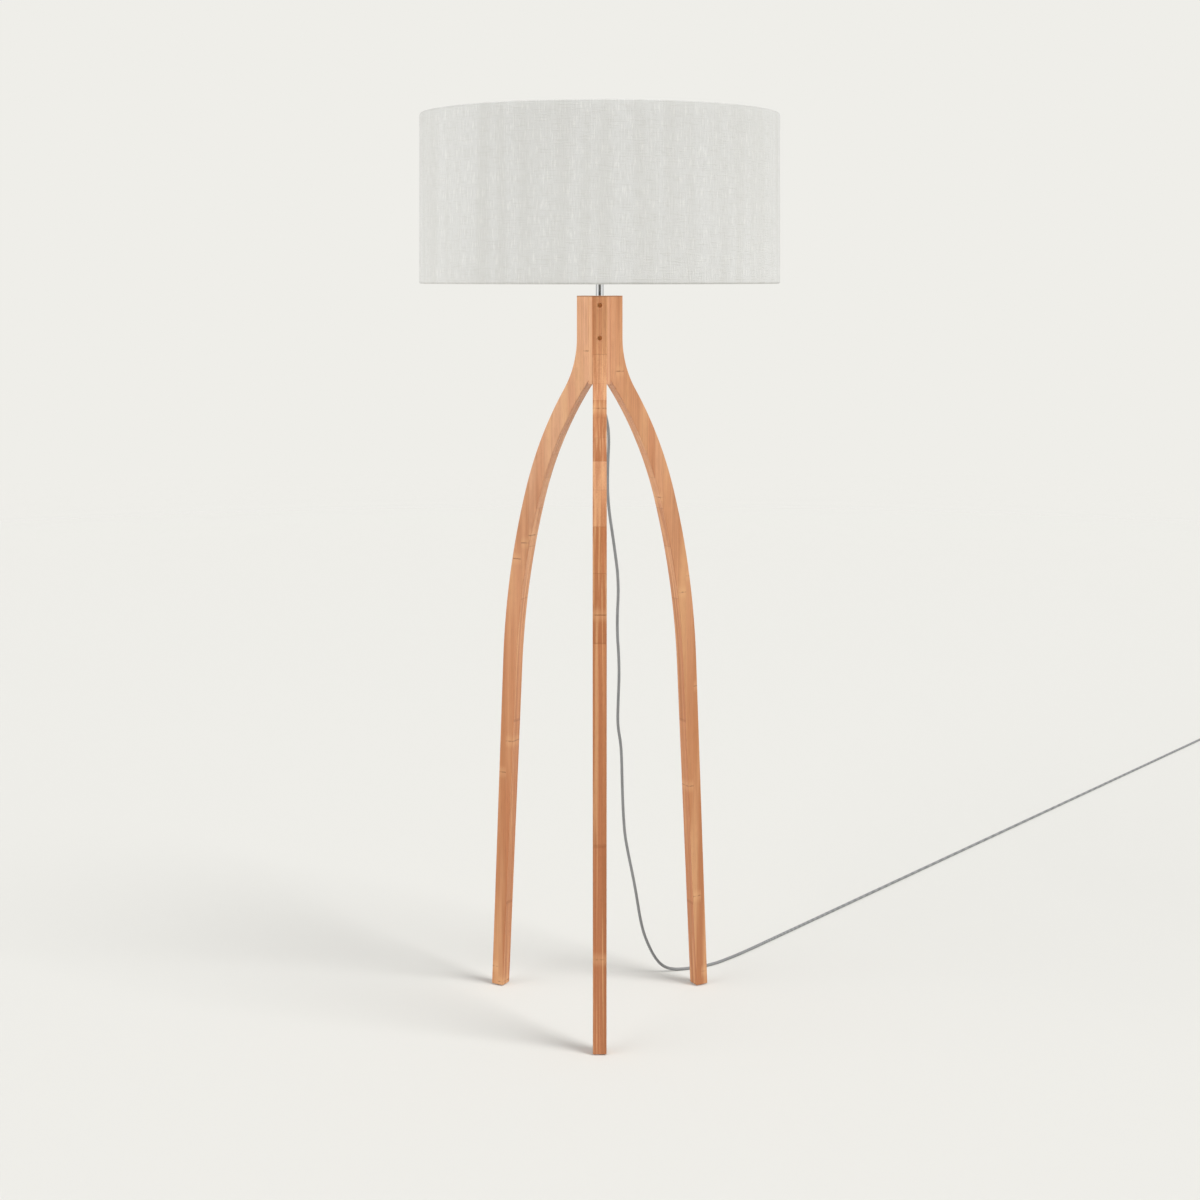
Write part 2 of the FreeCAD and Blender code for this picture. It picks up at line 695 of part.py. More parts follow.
def make_holder_cap():
    low = size("holder_bottom")
    wall = size("cap_wall")
    floor = low + size("cap_floor")
    body = turned("holder_cap", [
        (size("tube_radius") + 0.1, low),
        (size("cap_neck_radius"), low),
        (size("cap_radius"), size("cap_shoulder")),
        (size("cap_radius"), size("cap_top")),
        (size("cap_radius") - wall, size("cap_top")),
        (size("cap_radius") - wall, size("cap_shoulder")),
        (size("cap_neck_radius"), floor),
        (size("tube_radius") + 0.1, floor),
    ], {1: size("cap_curve"), 5: -size("cap_curve")})
    hole = new_sketch(body, "shaft_hole", "YZ_Plane", (0, 0, size("shaft_start")))
    circle(hole, 0, size("knob_height"), size("shaft_radius") + 0.4)
    cut(body, hole, size("wall_cut"), reverse=True)


def make_holder_body():
    """Threaded mouth of the lamp holder. Its shoulder carries the shade."""
    low = size("cap_top")
    flange_top = low + size("flange_thick")
    body = turned("holder_body", [
        (size("insert_disc_radius") + FIT, low - size("skirt_depth")),
        (size("cap_radius") - size("cap_wall") - FIT, low - size("skirt_depth")),
        (size("cap_radius") - size("cap_wall") - FIT, low),
        (size("flange_radius"), low),
        (size("flange_radius"), flange_top),
        (size("body_radius"), flange_top),
        (size("body_radius"), size("body_top") - size("thread_depth")),
        (size("body_radius") - size("thread_depth"), size("body_top")),
        (size("body_bore"), size("body_top")),
        (size("body_bore"), size("insert_disc_top")),
        (size("insert_disc_radius") + FIT, size("insert_disc_top")),
    ])
    first = flange_top + 2
    pitch = size("thread_pitch")
    valley = new_sketch(body, "thread_valley", "XZ_Plane")
    outline(valley, [
        (size("body_radius") - size("thread_depth"), first + pitch * 0.35),
        (size("body_radius") + 0.2, first),
        (size("body_radius") + 0.2, first + pitch * 0.9),
        (size("body_radius") - size("thread_depth"), first + pitch * 0.55),
    ])
    groove = revolve(body, valley, groove=True)
    linear(body, [groove], THREAD_TURNS, pitch * (THREAD_TURNS - 1))


def make_holder_inside():
    low = size("insert_disc_low")
    top = size("insert_disc_top")
    disc = turned("holder_insert", [
        (0, low),
        (size("insert_disc_radius"), low),
        (size("insert_disc_radius"), top),
        (0, top),
    ])
    holes = new_sketch(disc, "terminal_holes", "XY_Plane", (0, 0, low))
    for side in (1, -1):
        circle(holes, 0, size("terminal_offset") * side, size("terminal_radius") + FIT)
    cut(disc, holes, size("terminal_length") + 1, reverse=True)

    thick = size("shell_thick")
    lip = size("shell_bore") - size("shell_lip")
    turned("screw_shell", [
        (lip, top),
        (size("shell_radius"), top),
        (size("shell_radius"), size("shell_top")),
        (size("shell_bore"), size("shell_top")),
        (size("shell_bore"), top + thick),
        (lip, top + thick),
    ])

    # A bent strip: its foot on the insert, its rise, its tongue and the turned-down tip.
    strip = new_body("centre_contact")
    side_view = new_sketch(strip, "contact_section", "XZ_Plane")
    tongue = size("contact_top")
    outline(side_view, [
        (-8, top), (-3, top), (-1.5, tongue - thick), (4, tongue - thick), (6, tongue - 2),
        (6.4, tongue - 1.6), (4.2, tongue), (-1.9, tongue), (-3.4, top + thick), (-8, top + thick),
    ])
    pad(strip, side_view, size("contact_width"), symmetric=True)

    screw = new_body("terminal_screws")
    section = new_sketch(screw, "terminal_section", "YZ_Plane", (size("terminal_offset"), 0, 0))
    head_low = low - size("terminal_head_height")
    shank_top = low + size("terminal_length")
    outline(section, [
        (0, head_low),
        (size("terminal_head_radius"), head_low),
        (size("terminal_head_radius"), low),
        (size("terminal_radius"), low),
        (size("terminal_radius"), shank_top),
        (0, shank_top),
    ])
    polar(screw, [revolve(screw, section)], 2)


def make_switch():
    """Rotary switch: block inside the cap, shaft through its wall, knob outside."""
    height = size("knob_height")
    shaft = size("shaft_radius")
    gap = size("joint_gap")
    block = new_body("switch_block")
    side_view = new_sketch(block, "block_section", "YZ_Plane", (0, 0, size("block_start")))
    half = size("block_half_width")
    box_outline(side_view, -half, height - size("block_below"), half, height + size("block_above"))
    pad(block, side_view, size("block_length"))
    bore = new_sketch(block, "block_bore", "YZ_Plane", (0, 0, size("shaft_start") - gap - 0.1))
    circle(bore, 0, height, shaft + gap)
    cut(block, bore, size("overrun"), reverse=True)

    rod = new_body("switch_shaft")
    section = new_sketch(rod, "shaft_section", "XZ_Plane", (0, height, 0))
    shaft_end = size("knob_start") + size("shaft_in_knob")
    box_outline(section, size("shaft_start"), 0, shaft_end, shaft)
    revolve(rod, section, "H_Axis")

    knob = new_body("switch_knob")
    section = new_sketch(knob, "knob_section", "XZ_Plane", (0, height, 0))
    near = size("knob_start")
    far = near + size("knob_length")
    radius = size("knob_radius")
    chamfer = size("knob_chamfer")
    socket_end = shaft_end + 0.1
    collar = near + 2
    taper = 0.5
    outline(section, [
        (near, shaft + 0.03),
        (socket_end, shaft + 0.03),
        (socket_end, 0),
        (far, 0),
        (far, radius - chamfer - taper),
        (far - chamfer, radius - taper),
        (collar, radius),
        (near, radius),
    ])
    revolve(knob, section, "H_Axis")
    flute = new_sketch(knob, "knob_flute", "YZ_Plane", (0, 0, collar + taper))
    circle(flute, 0, height + radius + gap, size("knob_flute_radius"))
    notch = cut(knob, flute, size("knob_length"), reverse=True)
    grip = knob.newObject("PartDesign::PolarPattern", "knob_grip")
    grip.Originals = [notch]
    grip.Axis = (section, ["H_Axis"])
    grip.Angle = 360
    grip.Occurrences = KNOB_FLUTES
    knob.Tip = grip


def make_shade_ring():
    """Ring nut on the holder's thread, with finger flutes round it."""
    gap = size("joint_gap")
    low = size("cap_top") + size("flange_thick") + gap + size("spider_thick") + gap
    top = low + size("ring_height")
    flange = size("ring_flange")
    waist = size("ring_radius") - flange
    waist_low = low + flange * 1.5
    body = turned("shade_ring_nut", [
        (size("ring_bore"), low),
        (size("ring_radius"), low),
        (size("ring_radius"), low + flange),
        (waist, waist_low),
        (waist, top),
        (size("ring_bore"), top),
    ])
    flute = new_sketch(body, "ring_flute", "XY_Plane", (0, 0, waist_low))
    circle(flute, waist + 1, 0, size("ring_flute_radius"))
    polar(body, [cut(body, flute, size("ring_height"), reverse=True)], RING_FLUTES)


# Shade


def make_shade():
    outside = size("shade_radius")
    cloth = size("linen_thick")
    wire = size("wire_radius") + FIT
    curl = wire + cloth
    hem = size("linen_hem")
    low = size("shade_bottom")
    top = size("shade_top")
    middle = outside - curl
    turned("shade_linen", [
        (outside, low + curl),
        (outside, top - curl),
        (middle, top),
        (middle - curl, top - curl),
        (middle - curl, top - curl - hem),
        (middle - wire, top - curl - hem),
        (middle - wire, top - curl),
        (middle, top - cloth),
        (middle + wire, top - curl),
        (middle + wire, low + curl),
        (middle, low + cloth),
        (middle - wire, low + curl),
        (middle - wire, low + curl + hem),
        (middle - curl, low + curl + hem),
        (middle - curl, low + curl),
        (middle, low),
    ], {1: curl, 2: curl, 6: -wire, 7: -wire, 9: -wire, 10: -wire, 14: curl, 15: curl})
    liner = middle + size("wire_radius")
    ring("shade_liner", liner - size("liner_thick"), liner,
         low + curl + curl, top - curl - curl)

    for label, height in (("shade_top_wire", top - curl), ("shade_bottom_wire", low + curl)):
        wire_ring = plain_part("Torus", label, Radius1=middle, Radius2=size("wire_radius"))
        bind(wire_ring, "Placement.Base.z", height)

    washer_low = size("cap_top") + size("flange_thick") + size("joint_gap")
    ring("spider_washer", size("spider_hole"), size("spider_radius"),
         washer_low, washer_low + size("spider_thick"))
    make_spider_arms(
        middle - size("wire_radius") - FIT, low + curl, washer_low - size("arm_radius"))


def make_spider_arms(reach, wire_height, washer_height):
    """Three bent wires from under the washer out to the bottom wire."""
    body = new_body("spider_arms")
    path = new_sketch(body, "arm_path", "XZ_Plane")
    start, bend = size("arm_start"), size("arm_bend")
    inner_end = Vector(start.value, washer_height.value, 0)
    corner = Vector(bend.value, washer_height.value, 0)
    outer_end = Vector(reach.value, wire_height.value, 0)
    first, second = path.addGeometry(
        [Part.LineSegment(inner_end, corner), Part.LineSegment(corner, outer_end)], False)
    path.addConstraint(Sketcher.Constraint("Coincident", first, 2, second, 1))
    hold_point(path, first, 1, start, washer_height)
    hold_point(path, first, 2, bend, washer_height)
    hold_point(path, second, 2, reach, wire_height)
    section = new_sketch(body, "arm_section", "YZ_Plane", (0, 0, start))
    circle(section, 0, washer_height, size("arm_radius"))
    pipe = body.newObject("PartDesign::AdditivePipe", "arm_pipe")
    pipe.Profile = section
    pipe.Spine = (path, ["Edge1", "Edge2"])
    pipe.Transition = "Right corner"
    polar(body, [pipe], 3)
    body.Placement = Placement(Vector(0, 0, 0), Rotation(UP, 90))


# Bulb


def make_bulb():
    low = size("bulb_bottom")
    cap = size("bulb_cap_radius")
    globe = size("bulb_radius")
    top = low + size("bulb_length")
    centre = top - globe
    skin = size("bulb_skin")
    rim = size("bulb_rim")
    drop = math.sqrt(globe.value ** 2 - rim.value ** 2)
    inner_drop = math.sqrt((globe - skin).value ** 2 - (rim - skin).value ** 2)
    turned("bulb_contact", [(0, low), (4.5, low), (4.5, low + 1), (2.5, low + 1.6), (0, low + 1.6)])
    turned("bulb_insulator", [
        (0, low + 1.6), (2.5, low + 1.6), (4.6, low + 1.1), (11.2, low + 4.6), (11.2, low + 6),
        (0, low + 6),
    ])
    shell = turned("bulb_screw_cap", [
        (11.25, low + 4.6), (cap - 0.6, low + 6), (cap, low + 7), (cap, low + 26),
        (cap - 0.5, low + 26), (cap - 0.5, low + 7.2), (11.25, low + 6),
    ])
    thread = new_sketch(shell, "cap_thread", "XZ_Plane")
    outline(thread, [
        (cap - 0.35, low + 9.6), (cap + 0.1, low + 8.8),
        (cap + 0.1, low + 11), (cap - 0.35, low + 10.2),
    ])
    linear(shell, [revolve(shell, thread, groove=True)], 4, 10.9)

    turned("bulb_housing", [
        (cap - 1.9, low + 12), (cap - 0.55, low + 12), (cap - 0.55, low + 26), (cap + 1, low + 26.5),
        (cap + 2, low + 34), (rim, centre - drop), (rim - 1.5, centre - drop),
        (cap + 0.5, low + 34.5), (cap - 1.9, low + 27),
    ], {4: 60})
    base = centre - drop
    turned("bulb_globe", [
        (rim, base), (globe, centre), (0, top), (0, top - skin),
        (globe - skin, centre), (rim - skin, centre - inner_drop),
    ], {0: globe, 1: globe, 3: -(globe - skin), 4: -(globe - skin)})
    board_top = base - 0.6
    board_low = board_top - size("board_thick")
    board_radius = rim - 2.6
    turned("led_board", [
        (0, board_low), (board_radius, board_low), (board_radius, board_top), (0, board_top),
    ])
    body = new_body("led_chips")
    chips = new_sketch(body, "chip_outline", "XY_Plane", (0, 0, board_top))
    box_outline(chips, 13, -1.5, 17, 1.5)
    polar(body, [pad(body, chips, 0.8)], LED_COUNT)
    driver = new_body("bulb_driver")
    side_view = new_sketch(driver, "driver_outline", "XZ_Plane")
    half = size("driver_half_width")
    box_outline(side_view, -half, low + 14, half, board_low - 0.5)
    pad(driver, side_view, size("driver_thick"), symmetric=True)


# Cord, boot and plug


def rounded_path(route, report=False):
    """Straight runs through the route's points, joined by tangent arcs."""
    points = [Vector(*point) for point in route]
    edges = []
    start = points[0]
    radii = []
    for before, corner, after in zip(points, points[1:], points[2:]):
        inward = (corner - before).normalize()
        outward = (after - corner).normalize()
        half_turn = inward.getAngle(outward) / 2
        trim = 0.45 * min(corner.distanceToPoint(before), corner.distanceToPoint(after))
        radius = trim / math.tan(half_turn)
        radii.append(radius)
        towards_centre = (outward - inward).normalize()
        middle = corner + towards_centre * (radius / math.cos(half_turn) - radius)
        first = corner - inward * trim
        last = corner + outward * trim
        edges.append(Part.LineSegment(start, first).toShape())
        edges.append(Part.Arc(first, middle, last).toShape())
        start = last
    edges.append(Part.LineSegment(start, points[-1]).toShape())
    if report:
        print("cord bend radii:", " ".join(str(round(radius)) for radius in radii))
    return Part.Wire(edges)


def tube_along(route, radius, report=False):
    path = rounded_path(route, report)
    start = Vector(*route[0])
    direction = Vector(*route[1]) - start
    section = Part.Wire(Part.Circle(start, direction, radius).toShape())
    tube = path.makePipeShell([section], True, False)
    expected = math.pi * radius ** 2 * path.Length
    if abs(tube.Volume - expected) > 0.01 * expected:
        raise ValueError("tube volume " + str(tube.Volume) + " is not " + str(expected))
    if report:
        print("cord length:", round(path.Length, 1))
    return tube


def make_cord():
    fixed_shape("mains_cord", tube_along(CORD_ROUTE, size("cord_radius").value, report=True))


def make_boot():
    """Soft boot in the core's sink; its tip leans with the cord."""
    flange = plain_part("Cylinder", "boot_flange", keep=False, Radius=size("boot_flange_radius"),
                        Height=size("tube_end") - size("core_bottom"))
    bind(flange, "Placement.Base.z", size("core_bottom"))
    sections = []
    for step, (alias, shift, drop, lean) in enumerate((
        ("boot_radius", 0, 0, 0),
        ("boot_radius", 0, 6, 0),
        ("boot_tip_radius", 1.4, 22, 12),
    )):
        section = plain_part("Circle", "boot_section_" + str(step), keep=False, Radius=size(alias))
        section.Placement = Placement(
            Vector(shift, 0, size("core_bottom").value - drop), Rotation(Vector(0, 1, 0), -lean))
        sections.append(section)
    taper = plain_part("Loft", "boot_taper", keep=False)
    taper.Sections = sections
    taper.Solid = True
    taper.Ruled = False
    whole = plain_part("Fuse", "boot_whole", keep=False)
    whole.Base = flange
    whole.Tool = taper
    channel = fixed_shape(
        "boot_channel", tube_along(BOOT_ROUTE, size("cord_radius").value + FIT), keep=False)
    stub = plain_part("Cylinder", "boot_channel_top", keep=False,
                      Radius=size("cord_radius") + FIT, Height=size("overrun"))
    stub.Placement = Placement(Vector(*CORD_ROUTE[0]), Rotation())
    channel_whole = plain_part("Fuse", "boot_channel_whole", keep=False)
    channel_whole.Base = channel
    channel_whole.Tool = stub
    boot = plain_part("Cut", "cord_boot")
    boot.Base = whole
    boot.Tool = channel_whole


def make_inner_lead():
    """The cord's own continuation inside the tube, and its two conductors."""
    low = CORD_ROUTE[0][2]
    lead = plain_part("Cylinder", "inner_lead", Radius=size("cord_radius"),
                      Height=size("tube_top") + 1 - low)
    lead.Placement = Placement(Vector(0, 0, low), Rotation())
    top = size("tube_top").value + 1
    end = size("insert_disc_low").value - 2.1
    reach = size("terminal_offset").value
    radius = size("conductor_radius").value
    wires = []
    for side in (1, -1):
        route = [
            (0, side * 1.2, top), (0, side * 1.2, top + 1.5), (0, side * 4.6, top + 3.6),
            (0, side * reach, end - 2.2), (0, side * reach * 1.01, end),
        ]
        wires.append(tube_along(route, radius))
    fixed_shape("conductors", Part.Compound(wires))


def make_plug():
    """Flat two-pin plug at the end of the cord, lying on the floor."""
    end = Vector(*CORD_ROUTE[-1])
    heading = end - Vector(*CORD_ROUTE[-2])
    place = Placement(end, Rotation(Vector(1, 0, 0), heading))
    back = size("plug_relief_length")
    front = back + size("plug_length")

    relief = new_body("plug_relief")
    section = new_sketch(relief, "plug_relief_section", "XZ_Plane")
    outline(section, [
        (0, 0), (0, size("cord_radius") + 0.9), (back, 5.4), (back, 0),
    ])
    revolve(relief, section, "H_Axis")
    slot = new_sketch(relief, "relief_slot", "XZ_Plane")
    outline(slot, [(3.5, 2.8), (5, 2.8), (5, 8), (3.5, 8)])
    rings = revolve(relief, slot, "H_Axis", groove=True)
    linear(relief, [rings], RELIEF_RINGS, 14, axis="X_Axis")
    relief.Placement = place

    body = new_body("plug_body")
    half_wide = size("plug_width") * 0.5
    half_thick = size("plug_thick") * 0.5
    faces = []
    for name, position, wide, thick in (
        ("plug_back", back, half_wide * 0.42, half_thick * 0.9),
        ("plug_waist", back + size("plug_length") * 0.45, half_wide * 0.8, half_thick),
        ("plug_front", front, half_wide, half_thick),
    ):
        face = new_sketch(body, name, "YZ_Plane", (0, 0, position))
        corner = half_thick * 0.55
        outline(face, [
            (wide - corner, -thick), (wide, corner - thick), (wide, thick - corner),
            (wide - corner, thick), (corner - wide, thick), (-wide, thick - corner),
            (-wide, corner - thick), (corner - wide, -thick),
        ])
        faces.append(face)
    loft = body.newObject("PartDesign::AdditiveLoft", "plug_loft")
    loft.Profile = faces[0]
    loft.Sections = faces[1:]
    loft.Ruled = True
    body.Tip = loft
    body.Placement = place

    pins = new_body("plug_pins")
    section = new_sketch(pins, "pin_section", "XY_Plane", (0, size("pin_spacing") * 0.5, 0))
    radius = size("pin_radius")
    tip = front + size("pin_length")
    outline(section, [
        (front, 0), (tip, 0), (tip, radius - 1.2), (tip - 1.2, radius), (front, radius),
    ])
    polar(pins, [revolve(pins, section, "H_Axis")], 2, axis="X_Axis")
    pins.Placement = place


def check_parts():
    for item in doc.Objects:
        if "Invalid" in item.State or "Error" in item.State:
            raise ValueError(item.Name + " failed: " + " ".join(item.State))
    for part in parts:
        if part.Shape.isNull() or not part.Shape.isValid():
            raise ValueError(part.Label + " has no valid shape")


def write_parts():
    os.makedirs("parts", exist_ok=True)
    for part in parts:
        part.Shape.exportStep("parts/" + part.Label + ".step")
        print(part.Label, len(part.Shape.Solids), round(part.Shape.Volume, 1))


def main():
    fill_sheet()
    for label, angle in LEG_ANGLES.items():
        make_leg(label, angle)
    make_core()
    make_fasteners()
    make_glides()
    make_tube()
    make_holder_cap()
    make_holder_body()
    make_holder_inside()
    make_switch()
    make_shade_ring()
    make_shade()
    make_bulb()
    make_cord()
    make_boot()
    make_inner_lead()
    make_plug()
    doc.recompute()
    check_parts()
    write_parts()


main()
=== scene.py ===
"""Looks of the tripod floor lamp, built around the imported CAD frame. Lengths are in metres."""
import json
import math

import bmesh
import bpy
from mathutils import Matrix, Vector, noise


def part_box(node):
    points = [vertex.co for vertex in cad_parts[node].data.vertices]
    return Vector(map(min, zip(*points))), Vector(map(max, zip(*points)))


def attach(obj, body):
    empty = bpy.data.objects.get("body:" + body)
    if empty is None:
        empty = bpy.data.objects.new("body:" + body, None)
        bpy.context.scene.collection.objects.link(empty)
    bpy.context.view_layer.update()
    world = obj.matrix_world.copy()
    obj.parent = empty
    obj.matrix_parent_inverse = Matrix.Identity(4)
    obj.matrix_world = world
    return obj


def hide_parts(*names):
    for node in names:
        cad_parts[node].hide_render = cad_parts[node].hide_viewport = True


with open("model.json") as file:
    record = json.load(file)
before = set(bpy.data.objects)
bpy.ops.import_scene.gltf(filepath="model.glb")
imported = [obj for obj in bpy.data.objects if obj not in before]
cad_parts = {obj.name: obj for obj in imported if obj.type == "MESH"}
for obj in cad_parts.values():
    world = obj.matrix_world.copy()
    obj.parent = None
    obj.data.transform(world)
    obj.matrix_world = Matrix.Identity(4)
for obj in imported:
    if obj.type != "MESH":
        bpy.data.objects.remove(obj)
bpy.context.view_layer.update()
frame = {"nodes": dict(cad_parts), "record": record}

MM = 0.001
FULL_TURN = 2 * math.pi

# The view: a level camera at the height of the hub's top, its frame shifted down to the feet.
CAMERA_PLACE = (0.0, -3.2, 1.2175)
LENS_MM = 57.55
SENSOR_MM = 36.0
SHIFT_X = 0.00025
SHIFT_Y = -0.2708

# The studio: the backdrop's colour, the floor's share of it to the eye and in bounced light, and
# the surround's levels by bearing. The floor fades out from FLOOR_NEAR to FLOOR_FAR.
BACKDROP = (0.863, 0.855, 0.815)
FLOOR_WHITE = 0.73
FLOOR_BOUNCE = 0.90
FRONT_LEVEL = 0.07
SIDE_LEVEL = 0.79
BACK_LEVEL = 0.37
TOP_LEVEL = 0.45
FLOOR_NEAR = 3.5
FLOOR_FAR = 9.0
FLOOR_SIZE = 24.0

# Each light's bearing to the right of the front, height and spread in degrees, and strength.
# Both stand LIGHT_AWAY from the lamp, in metres.
KEY_LIGHT = (60, 48, 24, 2.05)
FILL_LIGHT = (-60, 30, 55, 1.5)
LIGHT_AWAY = 4.0

# The drum's cloth: one strip, flat 0.309 high from cut edge to cut edge, rolled over the wires.
CLOTH_RUN = 0.309
CLOTH_THICK = 0.8 * MM
CLOTH_SWAY = 0.25 * MM
WIRE_RADIUS = 2.0 * MM
WIRE_GAP = 0.25 * MM
HEM_DEPTH = 9.0 * MM
SEAM_LAP = 14.0 * MM
SEAM_RISE = 3.0 * MM
FRAY_DEPTH = 0.8 * MM
STEPS_ROUND = 540
STEPS_ROLL = 10
STEPS_WALL = 24
STEPS_HEM = 4

# The mains lead's size, and the corners of its route. They are the CAD tube's, with one more at
# each end of the long straight run so that the smooth curve stays on it.
CORD_DIAMETER = 0.005
CORD_ROUTE = [
    (0, 0, 1.041), (0, 0, 1.029), (0.0018, 0, 1.011), (0.0086, 0, 0.989), (0.014, 0.001, 0.966),
    (0.0155, 0.0015, 0.938), (0.0135, 0.0025, 0.905), (0.013, 0.006, 0.840),
    (0.0235, 0.0135, 0.770), (0.0325, 0.022, 0.700), (0.0285, 0.0315, 0.628),
    (0.0335, 0.0435, 0.556), (0.031, 0.0575, 0.485), (0.0305, 0.0645, 0.450),
    (0.037, 0.072, 0.414), (0.0385, 0.087, 0.342), (0.0415, 0.1015, 0.270),
    (0.046, 0.1085, 0.235), (0.060, 0.1215, 0.165), (0.0655, 0.128, 0.130),
    (0.0705, 0.133, 0.098), (0.078, 0.138, 0.067), (0.094, 0.145, 0.030),
    (0.110, 0.1505, 0.010), (0.130, 0.156, 0.0025), (0.160, 0.163, 0.0025),
    (0.198, 0.181, 0.0025), (0.229, 0.211, 0.0025), (0.262, 0.247, 0.0025),
    (0.2934, 0.2847, 0.0025), (1.556, 1.8016, 0.0025), (1.588, 1.840, 0.0025),
    (1.622, 1.876, 0.0025), (1.655, 1.9055, 0.00685), (1.685, 1.9325, 0.00685),
]


# ---------------------------------------------------------------- shader nodes

class Look:
    """A material's or world's nodes, and short names for the ones that looks are built from."""

    def __init__(self, owner, output="ShaderNodeOutputMaterial"):
        self.owner = owner
        self.owner.use_nodes = True
        self.tree = self.owner.node_tree
        self.tree.nodes.clear()
        self.output = self.tree.nodes.new(output)

    def add(self, kind, inputs=None, **settings):
        """A new node, with values or links for its input sockets."""
        node = self.tree.nodes.new(kind)
        for key, value in settings.items():
            setattr(node, key, value)
        for socket, value in (inputs or {}).items():
            self.put(node.inputs[socket], value)
        return node

    def put(self, socket, value):
        """Links an output to the socket, or sets its value."""
        if isinstance(value, bpy.types.NodeSocket):
            self.tree.links.new(value, socket)
        elif socket.type == "RGBA" and len(value) == 3:
            socket.default_value = (*value, 1.0)
        else:
            socket.default_value = value

    def place(self):
        """The point on the object, in metres."""
        return self.add("ShaderNodeTexCoord").outputs["Object"]

    def uv(self):
        return self.add("ShaderNodeTexCoord").outputs["UV"]

    def turned(self, vector, degrees):
        """The vector, turned about Z by minus the angle."""
        return self.add(
            "ShaderNodeVectorRotate",
            {"Vector": vector, "Angle": math.radians(-degrees)},
            rotation_type="Z_AXIS",
        ).outputs[0]

    def scaled(self, vector, scale):
        return self.add(
            "ShaderNodeVectorMath", {0: vector, 1: scale}, operation="MULTIPLY"
        ).outputs[0]

    def split(self, vector):
        return self.add("ShaderNodeSeparateXYZ", {0: vector}).outputs

    def joined(self, x, y, z=0.0):
        return self.add("ShaderNodeCombineXYZ", {0: x, 1: y, 2: z}).outputs[0]

    def math(self, operation, a, b=0.0, c=0.0):
        return self.add("ShaderNodeMath", {0: a, 1: b, 2: c}, operation=operation).outputs[0]

    def between(self, value, low, high, to_low=0.0, to_high=1.0):
        """The value, mapped smoothly from low..high to to_low..to_high."""
        return self.add(
            "ShaderNodeMapRange",
            {0: value, 1: low, 2: high, 3: to_low, 4: to_high},
            interpolation_type="SMOOTHSTEP",
        ).outputs[0]

    def noise(self, vector, detail=2.0, roughness=0.5, warp=0.0):
        """Smooth noise of 0 to 1, whose spots are about one unit of the vector wide."""
        inputs = {
            "Vector": vector,
            "Scale": 1.0,
            "Detail": detail,
            "Roughness": roughness,
            "Distortion": warp,
        }
        return self.add("ShaderNodeTexNoise", inputs).outputs[0]

    def chance(self, vector):
        """A number from 0 to 1 that is different for each vector."""
        return self.add("ShaderNodeTexWhiteNoise", {"Vector": vector}).outputs["Value"]

    def draw(self, count, seed):
        """A number from 0 to 1 that is different for each whole count."""
        angle = self.math("MULTIPLY_ADD", count, 12.9898, seed)
        return self.math("FRACT", self.math("MULTIPLY", self.math("SINE", angle), 437.585))

    def mix(self, amount, a, b):
        """The colour a, going over to the colour b."""
        node = self.add("ShaderNodeMix", data_type="RGBA")
        self.put(node.inputs[0], amount)
        self.put(node.inputs[6], a)
        self.put(node.inputs[7], b)
        return node.outputs[2]

    def shades(self, value, *stops):
        """A colour ramp, from (position, colour) stops."""
        node = self.add("ShaderNodeValToRGB", {0: value})
        elements = node.color_ramp.elements
        while len(elements) < len(stops):
            elements.new(0.5)
        for element, (position, colour) in zip(elements, stops):
            element.position = position
            element.color = (*colour, 1.0)
        return node.outputs[0]

    def bump(self, height, depth):
        """A normal from a height of 0 to 1 that stands for the depth, in metres."""
        return self.add("ShaderNodeBump", {"Height": height, "Distance": depth}).outputs[0]

    def show(self, shader):
        self.tree.links.new(shader, self.output.inputs[0])
        return self.owner

    def finish(self, **values):
        """The surface: Principled sockets by name, with _ for a space."""
        shader = self.add("ShaderNodeBsdfPrincipled")
        for key, value in values.items():
            self.put(shader.inputs[key.replace("_", " ")], value)
        return self.show(shader.outputs[0])


def new_look(name):
    return Look(bpy.data.materials.new(name))


def srgb(red, green, blue):
    """A screen colour of 0 to 255, as linear light."""
    def linear(value):
        value /= 255
        return value / 12.92 if value <= 0.04045 else ((value + 0.055) / 1.055) ** 2.4
    return (linear(red), linear(green), linear(blue))


# ---------------------------------------------------------------- materials

HUB_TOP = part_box("hub_core")[1].z
STRIP_WIDTH = 15.5 * MM
STRIP_START = 9.2 * MM
PLY_WIDTH = 6.6 * MM
NODE_PITCH = 0.36


def culm_nodes(look, place, z, strip, seed):
    """The bamboo's own nodes, which each strip has at its own heights: a line and its swell."""
    node_start = look.chance(look.joined(seed, strip, 0.5))
    culm = look.math("ADD", look.math("DIVIDE", z, NODE_PITCH), node_start)
    up = look.math("MULTIPLY", look.math("SUBTRACT", look.math("FRACT", culm), 0.5), NODE_PITCH)
    ragged = look.noise(look.scaled(place, (500.0, 500.0, 40.0)), 1.0)
    up = look.math("MULTIPLY_ADD", look.math("SUBTRACT", ragged, 0.5), 1.6 * MM, up)
    from_node = look.math("ABSOLUTE", up)
    line = look.between(from_node, 0.4 * MM, 1.5 * MM, 1.0, 0.0)
    broken = look.noise(look.scaled(place, (130.0, 130.0, 30.0)), 2.0)
    line = look.math("MULTIPLY", line, look.between(broken, 0.38, 0.62, 0.15, 1.0))
    swell = look.between(from_node, 2 * MM, 14 * MM, 1.0, 0.0)
    return line, swell


